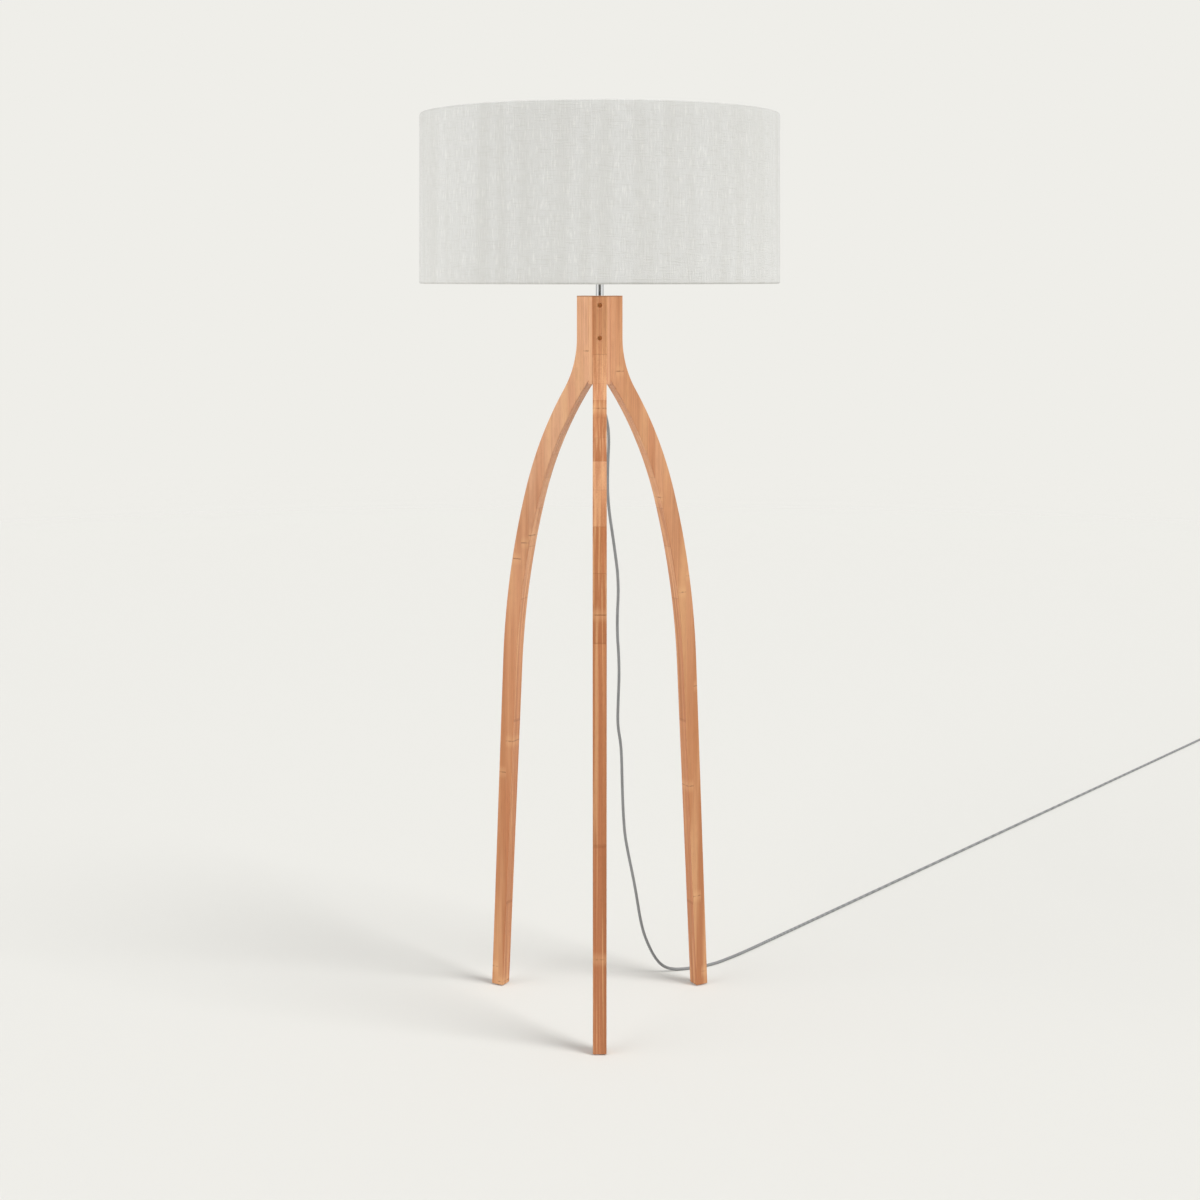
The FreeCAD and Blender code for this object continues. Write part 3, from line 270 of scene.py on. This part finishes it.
def bamboo(name, azimuth, seed, contrast, lighter):
    """Laminated bamboo: straight upright strips that the curved outline cuts through."""
    look = new_look(name)
    place = look.turned(look.place(), azimuth)
    x, y, z = look.split(place)
    outward = look.math("MULTIPLY", y, -1.0)
    wander = look.noise(look.scaled(place, (3.0, 3.0, 1.5)), 1.0)
    outward = look.math("MULTIPLY_ADD", wander, 1.4 * MM, outward)
    across = look.math("DIVIDE", look.math("SUBTRACT", outward, STRIP_START), STRIP_WIDTH)
    strip = look.math("FLOOR", across)
    in_strip = look.math("FRACT", across)
    plies = look.math("ADD", look.math("DIVIDE", x, PLY_WIDTH), 0.5)
    ply = look.math("FLOOR", plies)
    in_ply = look.math("FRACT", plies)
    tone = look.math("MULTIPLY", look.draw(strip, seed), contrast)
    tone = look.math("ADD", tone, 0.5 - contrast / 2 + lighter)
    tone = look.math("MULTIPLY_ADD", look.chance(look.joined(strip, ply, seed)), 0.16, tone)
    # Painted light and shade: the wood is darker towards the floor and lighter up at the hub, for
    # how the light falls.
    tone = look.math("ADD", tone, look.between(z, 0.03, 1.12, -0.44, 0.14))
    hue = look.chance(look.joined(ply, seed, strip))
    node_line, node_swell = culm_nodes(look, place, z, strip, seed)

    # Fibres run up the strip; the vessels are fine darker dashes.
    fibre = look.noise(look.scaled(place, (900.0, 900.0, 7.0)), 3.0, 0.6)
    vessel = look.noise(look.scaled(place, (2600.0, 2600.0, 45.0)), 1.0, 0.5)
    vessel = look.between(vessel, 0.60, 0.70)
    streak = look.noise(look.scaled(place, (300.0, 45.0, 2.2)), 2.0, 0.5)
    cloud = look.noise(look.scaled(place, (14.0, 8.0, 4.0)), 2.0, 0.5)

    colour = look.shades(
        tone,
        (0.0, srgb(170, 107, 68)),
        (0.35, srgb(194, 131, 87)),
        (0.7, srgb(219, 161, 119)),
        (1.0, srgb(235, 184, 146)),
    )
    colour = look.mix(look.between(hue, 0.55, 1.0, 0.0, 0.30), colour, srgb(205, 128, 88))
    colour = look.mix(look.between(fibre, 0.35, 0.72, 0.0, 0.32), colour, srgb(166, 100, 55))
    colour = look.mix(look.between(streak, 0.48, 0.66, 0.0, 0.42), colour, srgb(235, 185, 135))
    colour = look.mix(look.between(streak, 0.46, 0.34, 0.0, 0.34), colour, srgb(160, 94, 52))
    colour = look.mix(look.between(cloud, 0.45, 0.75, 0.0, 0.18), colour, srgb(176, 108, 62))
    colour = look.mix(look.math("MULTIPLY", vessel, 0.28), colour, srgb(132, 76, 40))
    colour = look.mix(look.math("MULTIPLY", node_swell, 0.22), colour, srgb(238, 190, 140))
    colour = look.mix(look.math("MULTIPLY", node_line, 0.60), colour, srgb(128, 72, 38))

    strip_edge = look.math("ABSOLUTE", look.math("SUBTRACT", in_strip, 0.5))
    ply_edge = look.math("ABSOLUTE", look.math("SUBTRACT", in_ply, 0.5))
    glue = look.math(
        "MAXIMUM",
        look.between(strip_edge, 0.488, 0.497),
        look.between(ply_edge, 0.475, 0.492),
    )
    colour = look.mix(look.math("MULTIPLY", glue, 0.35), colour, srgb(140, 80, 42))
    # A thin darker band just below the hub's top edge, under the shade.
    hub_top_band = look.between(z, HUB_TOP - 2.4 * MM, HUB_TOP - 1.2 * MM)
    colour = look.mix(look.math("MULTIPLY", hub_top_band, 0.5), colour, srgb(122, 84, 58))

    height = look.math("SUBTRACT", fibre, look.math("MULTIPLY", vessel, 0.8))
    height = look.math("SUBTRACT", height, look.math("MULTIPLY", node_line, 0.9))
    height = look.math("SUBTRACT", height, look.math("MULTIPLY", glue, 0.7))
    gloss = look.between(fibre, 0.3, 0.7, 0.36, 0.50)
    return look.finish(
        Base_Color=colour,
        Roughness=gloss,
        Specular_IOR_Level=0.3,
        Coat_Weight=0.12,
        Coat_Roughness=0.25,
        Normal=look.bump(height, 0.10 * MM),
    )


def linen():
    """Plain-woven linen with slubs: u runs round the drum and v up it, both in metres."""
    pitch_u, pitch_v = 0.75 * MM, 0.85 * MM
    look = new_look("linen")
    u, v, _ = look.split(look.uv())

    def cloth_noise(per_u, per_v, roughness=0.5):
        """Noise with its own scale round the drum and up it."""
        where = look.joined(look.math("MULTIPLY", u, per_u), look.math("MULTIPLY", v, per_v))
        return look.noise(where, 2.0, roughness)

    sway = cloth_noise(20.0, 20.0)
    warp_at = look.math("MULTIPLY_ADD", sway, 1.2, look.math("DIVIDE", u, pitch_u))
    weft_at = look.math("MULTIPLY_ADD", sway, 1.5, look.math("DIVIDE", v, pitch_v))
    warp = look.math("SINE", look.math("MULTIPLY", warp_at, FULL_TURN))
    weft = look.math("SINE", look.math("MULTIPLY", weft_at, FULL_TURN))
    over = look.math("SINE", look.math("MULTIPLY", look.math("ADD", warp_at, weft_at), math.pi))
    over = look.math("MULTIPLY_ADD", over, 0.5, 0.5)
    crossing = look.math("MULTIPLY", warp, weft)
    weave = look.math("MULTIPLY_ADD", crossing, 0.25, look.math("MULTIPLY", over, 0.5))

    slub_up = cloth_noise(440.0, 48.0, 0.55)
    slub_round = cloth_noise(48.0, 430.0, 0.55)
    thick_up = look.between(slub_up, 0.50, 0.68)
    thick_round = look.between(slub_round, 0.50, 0.68)
    thin_up = look.between(slub_up, 0.46, 0.30)
    band = cloth_noise(30.0, 1.5)

    # Partly painted shade: the weave's raised crossings are lighter and its hollows darker,
    # besides the yarns' own tone.
    colour = look.mix(weave, srgb(218, 218, 215), srgb(232, 232, 230))
    colour = look.mix(look.math("MULTIPLY", thick_up, 0.26), colour, srgb(206, 205, 199))
    colour = look.mix(look.math("MULTIPLY", thick_round, 0.30), colour, srgb(206, 205, 199))
    colour = look.mix(look.math("MULTIPLY", thin_up, 0.35), colour, srgb(250, 249, 244))
    colour = look.mix(look.between(band, 0.35, 0.65, 0.0, 0.32), colour, srgb(206, 205, 199))
    # Painted shade: the cloth is darker over the hems and the rolls round the wires.
    middle = CLOTH_RUN / 2
    from_middle = look.math("ABSOLUTE", look.math("SUBTRACT", v, middle))
    rolled = look.between(from_middle, middle - 18.5 * MM, middle - 16.0 * MM)
    colour = look.mix(look.math("MULTIPLY", rolled, 0.18), colour, srgb(176, 174, 167))

    height = look.math("MULTIPLY_ADD", weave, 0.3, look.math("MULTIPLY", thick_up, 0.6))
    height = look.math("MULTIPLY_ADD", thick_round, 0.6, height)
    return look.finish(
        Base_Color=colour,
        Roughness=0.92,
        Specular_IOR_Level=0.2,
        Normal=look.bump(height, 0.22 * MM),
    )


def braid():
    """Woven textile sleeve of a lead: u runs along it and v once round it, in turns."""
    look = new_look("cord_textile")
    u, v, _ = look.split(look.uv())
    strands = 8.0
    strand_lay = 9.0 * MM
    along = look.math("MULTIPLY", u, 1.0 / strand_lay)
    right = look.math("ADD", along, v)
    left = look.math("SUBTRACT", along, v)
    right_wave = look.math("SINE", look.math("MULTIPLY", right, FULL_TURN * strands))
    left_wave = look.math("SINE", look.math("MULTIPLY", left, FULL_TURN * strands))
    height = look.math("MULTIPLY_ADD", look.math("MULTIPLY", right_wave, left_wave), 0.5, 0.5)
    fuzz = look.noise(look.scaled(look.place(), (2400.0, 2400.0, 2400.0)), 2.0)
    worn = look.noise(look.scaled(look.place(), (60.0, 60.0, 60.0)), 2.0)
    # Painted shade: the braid is lighter where its strands cross over and darker in the hollows
    # between them.
    colour = look.mix(height, srgb(118, 120, 121), srgb(158, 159, 159))
    colour = look.mix(look.between(fuzz, 0.5, 0.8, 0.0, 0.35), colour, srgb(172, 172, 168))
    colour = look.mix(look.between(worn, 0.4, 0.7, 0.0, 0.2), colour, srgb(112, 113, 113))
    return look.finish(
        Base_Color=colour,
        Roughness=0.8,
        Specular_IOR_Level=0.3,
        Sheen_Weight=0.2,
        Sheen_Roughness=0.4,
        Normal=look.bump(height, 0.18 * MM),
    )


def polished(name, colour, roughness, mottle):
    """Plated or polished metal, with a faint haze and fine wiping marks."""
    look = new_look(name)
    place = look.place()
    haze = look.noise(look.scaled(place, (90.0, 90.0, 90.0)), 3.0)
    marks = look.noise(look.scaled(place, (2500.0, 2500.0, 60.0)), 2.0)
    dull = tuple(0.78 * c for c in colour)
    tint = look.mix(look.between(haze, 0.4, 0.75, 0.0, mottle), colour, dull)
    rough = look.between(marks, 0.35, 0.75, roughness, roughness + 0.10)
    return look.finish(
        Base_Color=tint,
        Metallic=1.0,
        Roughness=rough,
        Normal=look.bump(marks, 0.01 * MM),
    )


def moulded(name, colour, roughness, grain=0.6, depth=0.04):
    """Moulded plastic, rubber or glazed ceramic: a fine skin with slight variation."""
    look = new_look(name)
    place = look.place()
    skin = look.noise(look.scaled(place, (900.0, 900.0, 900.0)), 3.0, 0.6)
    cloud = look.noise(look.scaled(place, (35.0, 35.0, 35.0)), 3.0)
    worn = tuple(min(1.0, c * 1.22 + 0.012) for c in colour)
    tint = look.mix(look.between(cloud, 0.4, 0.75, 0.0, grain), colour, worn)
    rough = look.between(skin, 0.35, 0.7, roughness, roughness + 0.12)
    return look.finish(
        Base_Color=tint,
        Roughness=rough,
        Specular_IOR_Level=0.5,
        Normal=look.bump(skin, depth * MM),
    )


def felt():
    """Short brown felt."""
    look = new_look("glide_felt")
    place = look.place()
    fibres = look.noise(look.scaled(place, (1500.0, 1500.0, 700.0)), 4.0, 0.7, 1.5)
    colour = look.mix(fibres, srgb(60, 52, 46), srgb(112, 100, 90))
    return look.finish(
        Base_Color=colour,
        Roughness=0.95,
        Specular_IOR_Level=0.2,
        Sheen_Weight=0.3,
        Normal=look.bump(fibres, 0.3 * MM),
    )


def lining():
    """Satin white laminate inside the drum, with a fine pebble and faint clouding."""
    look = new_look("shade_lining")
    place = look.place()
    pebble = look.noise(look.scaled(place, (1100.0, 1100.0, 1100.0)), 2.0)
    cloud = look.noise(look.scaled(place, (9.0, 9.0, 4.0)), 2.0)
    colour = look.mix(cloud, srgb(218, 216, 208), srgb(230, 229, 223))
    return look.finish(
        Base_Color=colour,
        Roughness=look.between(pebble, 0.3, 0.7, 0.42, 0.55),
        Specular_IOR_Level=0.4,
        Normal=look.bump(pebble, 0.03 * MM),
    )


def circuit():
    """Green board varnish with darker tracks."""
    look = new_look("driver_green")
    place = look.place()
    tracks = look.add(
        "ShaderNodeTexVoronoi",
        {"Vector": look.scaled(place, (420.0, 420.0, 420.0)), "Scale": 1.0},
        distance="CHEBYCHEV",
    ).outputs["Distance"]
    edge = look.between(tracks, 0.35, 0.5)
    colour = look.mix(edge, srgb(24, 92, 52), srgb(70, 132, 78))
    return look.finish(
        Base_Color=colour,
        Roughness=0.35,
        Specular_IOR_Level=0.5,
        Normal=look.bump(edge, 0.05 * MM),
    )


# Each leg's bearing in degrees, the seed of its strips, how much they differ, and its lightness.
# The rear legs' lightness is painted light: the left one is made lighter and the right one darker,
# as if lit more from the left.
LEG_WOOD = {
    "leg_front": (0.0, 1.4658, 0.7, -0.17),
    "leg_rear_right": (120.0, 2.61, 0.18, -0.02),
    "leg_rear_left": (240.0, 4.37, 0.18, 0.14),
}

LOOKS = {
    "bronzed_bolts": moulded("bronzed_bolts", srgb(206, 152, 92), 0.42, 0.5),
    "zinc_steel": polished("zinc_steel", srgb(186, 188, 190), 0.30, 0.5),
    "chrome_sleeve": polished("chrome_sleeve", srgb(247, 248, 248), 0.07, 0.10),
    "glide_felt": felt(),
    "boot_rubber": moulded("boot_rubber", srgb(96, 97, 98), 0.55),
    "cord_textile": braid(),
    "conductor_pvc": moulded("conductor_pvc", srgb(120, 74, 44), 0.42),
    "plug_plastic": moulded("plug_plastic", srgb(112, 113, 114), 0.40),
    "plug_nickel": polished("plug_nickel", srgb(214, 210, 200), 0.18, 0.3),
    "holder_black": moulded("holder_black", srgb(28, 28, 29), 0.34),
    "knob_black": moulded("knob_black", srgb(32, 32, 33), 0.38),
    "holder_ceramic": moulded("holder_ceramic", srgb(228, 226, 218), 0.20, 0.3, 0.02),
    "contact_brass": polished("contact_brass", srgb(206, 170, 98), 0.26, 0.5),
    "shaft_steel": polished("shaft_steel", srgb(180, 182, 184), 0.28, 0.4),
    "linen": linen(),
    "shade_lining": lining(),
    "shade_wire": moulded("shade_wire", srgb(212, 211, 206), 0.30, 0.4, 0.02),
    "bulb_diffuser": moulded("bulb_diffuser", srgb(216, 215, 210), 0.38, 0.2, 0.01),
    "bulb_white": moulded("bulb_white", srgb(232, 232, 229), 0.36, 0.3, 0.02),
    "bulb_metal": polished("bulb_metal", srgb(196, 198, 200), 0.24, 0.4),
    "bulb_black_glass": moulded("bulb_black_glass", srgb(18, 18, 20), 0.12, 0.3, 0.01),
    "bulb_tip": polished("bulb_tip", srgb(170, 168, 162), 0.35, 0.6),
    "led_aluminium": polished("led_aluminium", srgb(206, 208, 210), 0.40, 0.4),
    "led_phosphor": moulded("led_phosphor", srgb(232, 198, 84), 0.45, 0.5, 0.03),
    "driver_green": circuit(),
    "bamboo_core": bamboo("bamboo_core", 0.0, 7.27, 0.2, 0.45),
}


def dress(node, material):
    """Gives the whole object one material."""
    node.data.materials.clear()
    node.data.materials.append(material)


def dress_cad_nodes():
    for part in frame["record"]["subparts"]:
        name, slot = part["node"], part["material_slot"]
        if slot == "bamboo_legs":
            dress(frame["nodes"][name], bamboo(name, *LEG_WOOD[name]))
        else:
            dress(frame["nodes"][name], LOOKS[slot])


# ---------------------------------------------------------------- mains lead

def lead_spline():
    """The lead's centreline: a smooth curve with the route's corners as its control points."""
    curve = bpy.data.curves.new("lead_line", "CURVE")
    curve.dimensions = "3D"
    curve.resolution_u = 24
    spline = curve.splines.new("NURBS")
    spline.points.add(len(CORD_ROUTE) - 1)
    for point, place in zip(spline.points, CORD_ROUTE):
        point.co = (*place, 1.0)
    spline.order_u = 3
    spline.use_endpoint_u = True
    curve.bevel_depth = CORD_DIAMETER / 2
    curve.bevel_resolution = 4
    curve.use_fill_caps = True
    return bpy.data.objects.new("mains_lead", curve)


def build_lead():
    lead = lead_spline()
    bpy.context.collection.objects.link(lead)
    lead.data.materials.append(LOOKS["cord_textile"])
    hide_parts("mains_cord")
    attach(lead, "stand")


# ---------------------------------------------------------------- drum cloth

def cloth_line(low, high):
    """The cloth's middle as (radius, height), from the lower cut edge to the upper one."""
    wall = (high.x - low.x) / 2 - CLOTH_THICK / 2
    roll = WIRE_RADIUS + CLOTH_THICK / 2 + WIRE_GAP
    ring = wall - roll
    bottom, top = low.z + roll + CLOTH_THICK / 2, high.z - roll - CLOTH_THICK / 2
    line = [(ring - roll, bottom + HEM_DEPTH * (1 - i / STEPS_HEM)) for i in range(STEPS_HEM)]
    for i in range(STEPS_ROLL + 1):
        turn = math.pi * i / STEPS_ROLL
        line.append((ring - roll * math.cos(turn), bottom - roll * math.sin(turn)))
    line += [(wall, bottom + (top - bottom) * i / STEPS_WALL) for i in range(1, STEPS_WALL)]
    for i in range(STEPS_ROLL + 1):
        turn = math.pi * i / STEPS_ROLL
        line.append((ring + roll * math.cos(turn), top + roll * math.sin(turn)))
    line += [(ring - roll, top - HEM_DEPTH * i / STEPS_HEM) for i in range(1, STEPS_HEM + 1)]
    return line


def run_lengths(line):
    """The distance along a line at each of its points."""
    lengths = [0.0]
    for (r0, z0), (r1, z1) in zip(line, line[1:]):
        lengths.append(lengths[-1] + math.hypot(r1 - r0, z1 - z0))
    return lengths


def cloth_row(mesh, line, turn, to_end):
    """One row of corners up the cloth, at a turn round the drum, with its distance to the seam."""
    round_drum = Vector((math.cos(turn), math.sin(turn), 0.0)) * 4.0
    lap_left = SEAM_LAP + SEAM_RISE - to_end
    lift = CLOTH_THICK * min(1.0, lap_left / SEAM_RISE) if lap_left > 0 else 0.0
    row = []
    for j, (radius, height) in enumerate(line):
        sway = noise.noise(round_drum + Vector((0.0, 0.0, height * 9.0))) * CLOTH_SWAY
        at_cut_edge = j in (0, len(line) - 1)
        fray = noise.noise(round_drum * 6.0) * FRAY_DEPTH if at_cut_edge else 0.0
        out = radius + sway + lift - CLOTH_SWAY
        row.append(mesh.verts.new((out * math.cos(turn), out * math.sin(turn), height + fray)))
    return row


def cloth_mesh(line, lengths, wall, start, span):
    """The strip of cloth, with u and v in metres along it and across it."""
    mesh = bmesh.new()
    uv = mesh.loops.layers.uv.new("cloth")
    rows = []
    for i in range(STEPS_ROUND + 1):
        turn = start + span * i / STEPS_ROUND
        row = cloth_row(mesh, line, turn, (start + span - turn) * wall)
        rows.append(((turn - start) * wall, row))
    for (u0, row0), (u1, row1) in zip(rows, rows[1:]):
        for j in range(len(line) - 1):
            v0, v1 = lengths[j], lengths[j + 1]
            face = mesh.faces.new((row0[j], row1[j], row1[j + 1], row0[j + 1]))
            face.smooth = True
            for loop, corner in zip(face.loops, ((u0, v0), (u1, v0), (u1, v1), (u0, v1))):
                loop[uv].uv = corner
    data = bpy.data.meshes.new("shade_cloth")
    mesh.to_mesh(data)
    mesh.free()
    return data


def build_cloth():
    """The linen round the drum: one strip, rolled over both wires and lapped at the back."""
    low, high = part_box("shade_linen")
    line = cloth_line(low, high)
    lengths = run_lengths(line)
    wall = (high.x - low.x) / 2
    lap_turn = SEAM_LAP / wall
    span = FULL_TURN + lap_turn
    data = cloth_mesh(line, lengths, wall, math.pi / 2 - lap_turn / 2, span)
    cloth = bpy.data.objects.new("shade_cloth", data)
    bpy.context.collection.objects.link(cloth)
    thick = cloth.modifiers.new("thickness", "SOLIDIFY")
    thick.thickness = CLOTH_THICK
    thick.offset = 0.0
    data.materials.append(LOOKS["linen"])
    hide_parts("shade_linen")
    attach(cloth, "shade")


# ---------------------------------------------------------------- studio

def floor_look():
    """Pale matt floor that fades into the backdrop far from the lamp."""
    look = new_look("floor")
    x, y, _ = look.split(look.place())
    grain = look.noise(look.scaled(look.place(), (40.0, 40.0, 40.0)), 3.0)
    away = look.math("ADD", look.math("MULTIPLY", x, x), look.math("MULTIPLY", y, y))
    away = look.math("SQRT", away)
    white = tuple(FLOOR_WHITE * c / max(BACKDROP) for c in BACKDROP)
    tint = look.mix(look.math("MULTIPLY", grain, 0.02), white, tuple(0.9 * c for c in white))
    seen = look.add("ShaderNodeLightPath").outputs["Is Camera Ray"]
    dim = tuple(FLOOR_BOUNCE * c for c in BACKDROP)
    tint = look.mix(seen, dim, tint)
    paint = look.add("ShaderNodeBsdfDiffuse", {"Color": tint}).outputs[0]
    clear = look.add("ShaderNodeBsdfTransparent").outputs[0]
    fade = look.between(away, FLOOR_NEAR, FLOOR_FAR)
    return look.show(look.add("ShaderNodeMixShader", {0: fade, 1: paint, 2: clear}).outputs[0])


def build_floor():
    mesh = bmesh.new()
    bmesh.ops.create_grid(mesh, x_segments=8, y_segments=8, size=FLOOR_SIZE / 2)
    data = bpy.data.meshes.new("floor")
    mesh.to_mesh(data)
    mesh.free()
    floor = bpy.data.objects.new("floor", data)
    bpy.context.collection.objects.link(floor)
    data.materials.append(floor_look())


def build_world():
    """Soft studio surround, dim in front of the lamp; the camera sees the plain backdrop."""
    world = bpy.data.worlds.new("studio")
    bpy.context.scene.world = world
    look = Look(world, "ShaderNodeOutputWorld")
    where = look.add("ShaderNodeTexCoord").outputs["Generated"]
    x, y, z = look.split(where)
    bearing = look.math("ARCTAN2", x, look.math("MULTIPLY", y, -1.0))
    off_front = look.math("ABSOLUTE", bearing)
    side = look.between(off_front, math.radians(25), math.radians(50), FRONT_LEVEL, SIDE_LEVEL)
    rear = look.between(off_front, math.radians(85), math.radians(120))
    level = look.math("MULTIPLY_ADD", rear, BACK_LEVEL - SIDE_LEVEL, side)
    above = look.between(z, 0.45, 0.85)
    level = look.math("MULTIPLY_ADD", above, look.math("SUBTRACT", TOP_LEVEL, level), level)
    surround = look.add("ShaderNodeBackground", {0: (1.0, 1.0, 1.0), 1: level}).outputs[0]
    plain = look.add("ShaderNodeBackground", {0: BACKDROP, 1: 1.0}).outputs[0]
    seen = look.add("ShaderNodeLightPath").outputs["Is Camera Ray"]
    look.show(look.add("ShaderNodeMixShader", {0: seen, 1: surround, 2: plain}).outputs[0])


def shadow_casters():
    """Everything but the shade: the key light passes it, so that it doesn't darken the hub."""
    casters = bpy.data.collections.new("shadow_casters")
    for body, nodes in frame["record"]["behaviour"]["bodies"].items():
        if body != "shade":
            for node in nodes:
                casters.objects.link(frame["nodes"][node])
    casters.objects.link(bpy.data.objects["mains_lead"])
    return casters


def build_light(name, bearing, height, spread, strength):
    """A far, wide soft light, shining at the lamp from its bearing and height."""
    data = bpy.data.lights.new(name, "SUN")
    data.angle = math.radians(spread)
    data.energy = strength
    light = bpy.data.objects.new(name, data)
    bpy.context.collection.objects.link(light)
    turn, lift = math.radians(bearing), math.radians(height)
    towards = Vector((
        math.sin(turn) * math.cos(lift), -math.cos(turn) * math.cos(lift), math.sin(lift)
    ))
    light.location = towards * LIGHT_AWAY
    light.rotation_euler = towards.to_track_quat("Z", "Y").to_euler()
    return light


def build_camera():
    data = bpy.data.cameras.new("camera")
    data.sensor_width = SENSOR_MM
    data.lens = LENS_MM
    data.shift_x = SHIFT_X
    data.shift_y = SHIFT_Y
    camera = bpy.data.objects.new("camera", data)
    bpy.context.collection.objects.link(camera)
    camera.location = CAMERA_PLACE
    camera.rotation_euler = (math.radians(90), 0.0, 0.0)
    bpy.context.scene.camera = camera


build_camera()
dress_cad_nodes()
build_lead()
build_cloth()
build_floor()
build_world()
key_light = build_light("soft_right", *KEY_LIGHT)
key_light.light_linking.blocker_collection = shadow_casters()
fill_light = build_light("soft_left", *FILL_LIGHT)
fill_light.data.use_shadow = False
bpy.context.scene.view_settings.view_transform = "Standard"
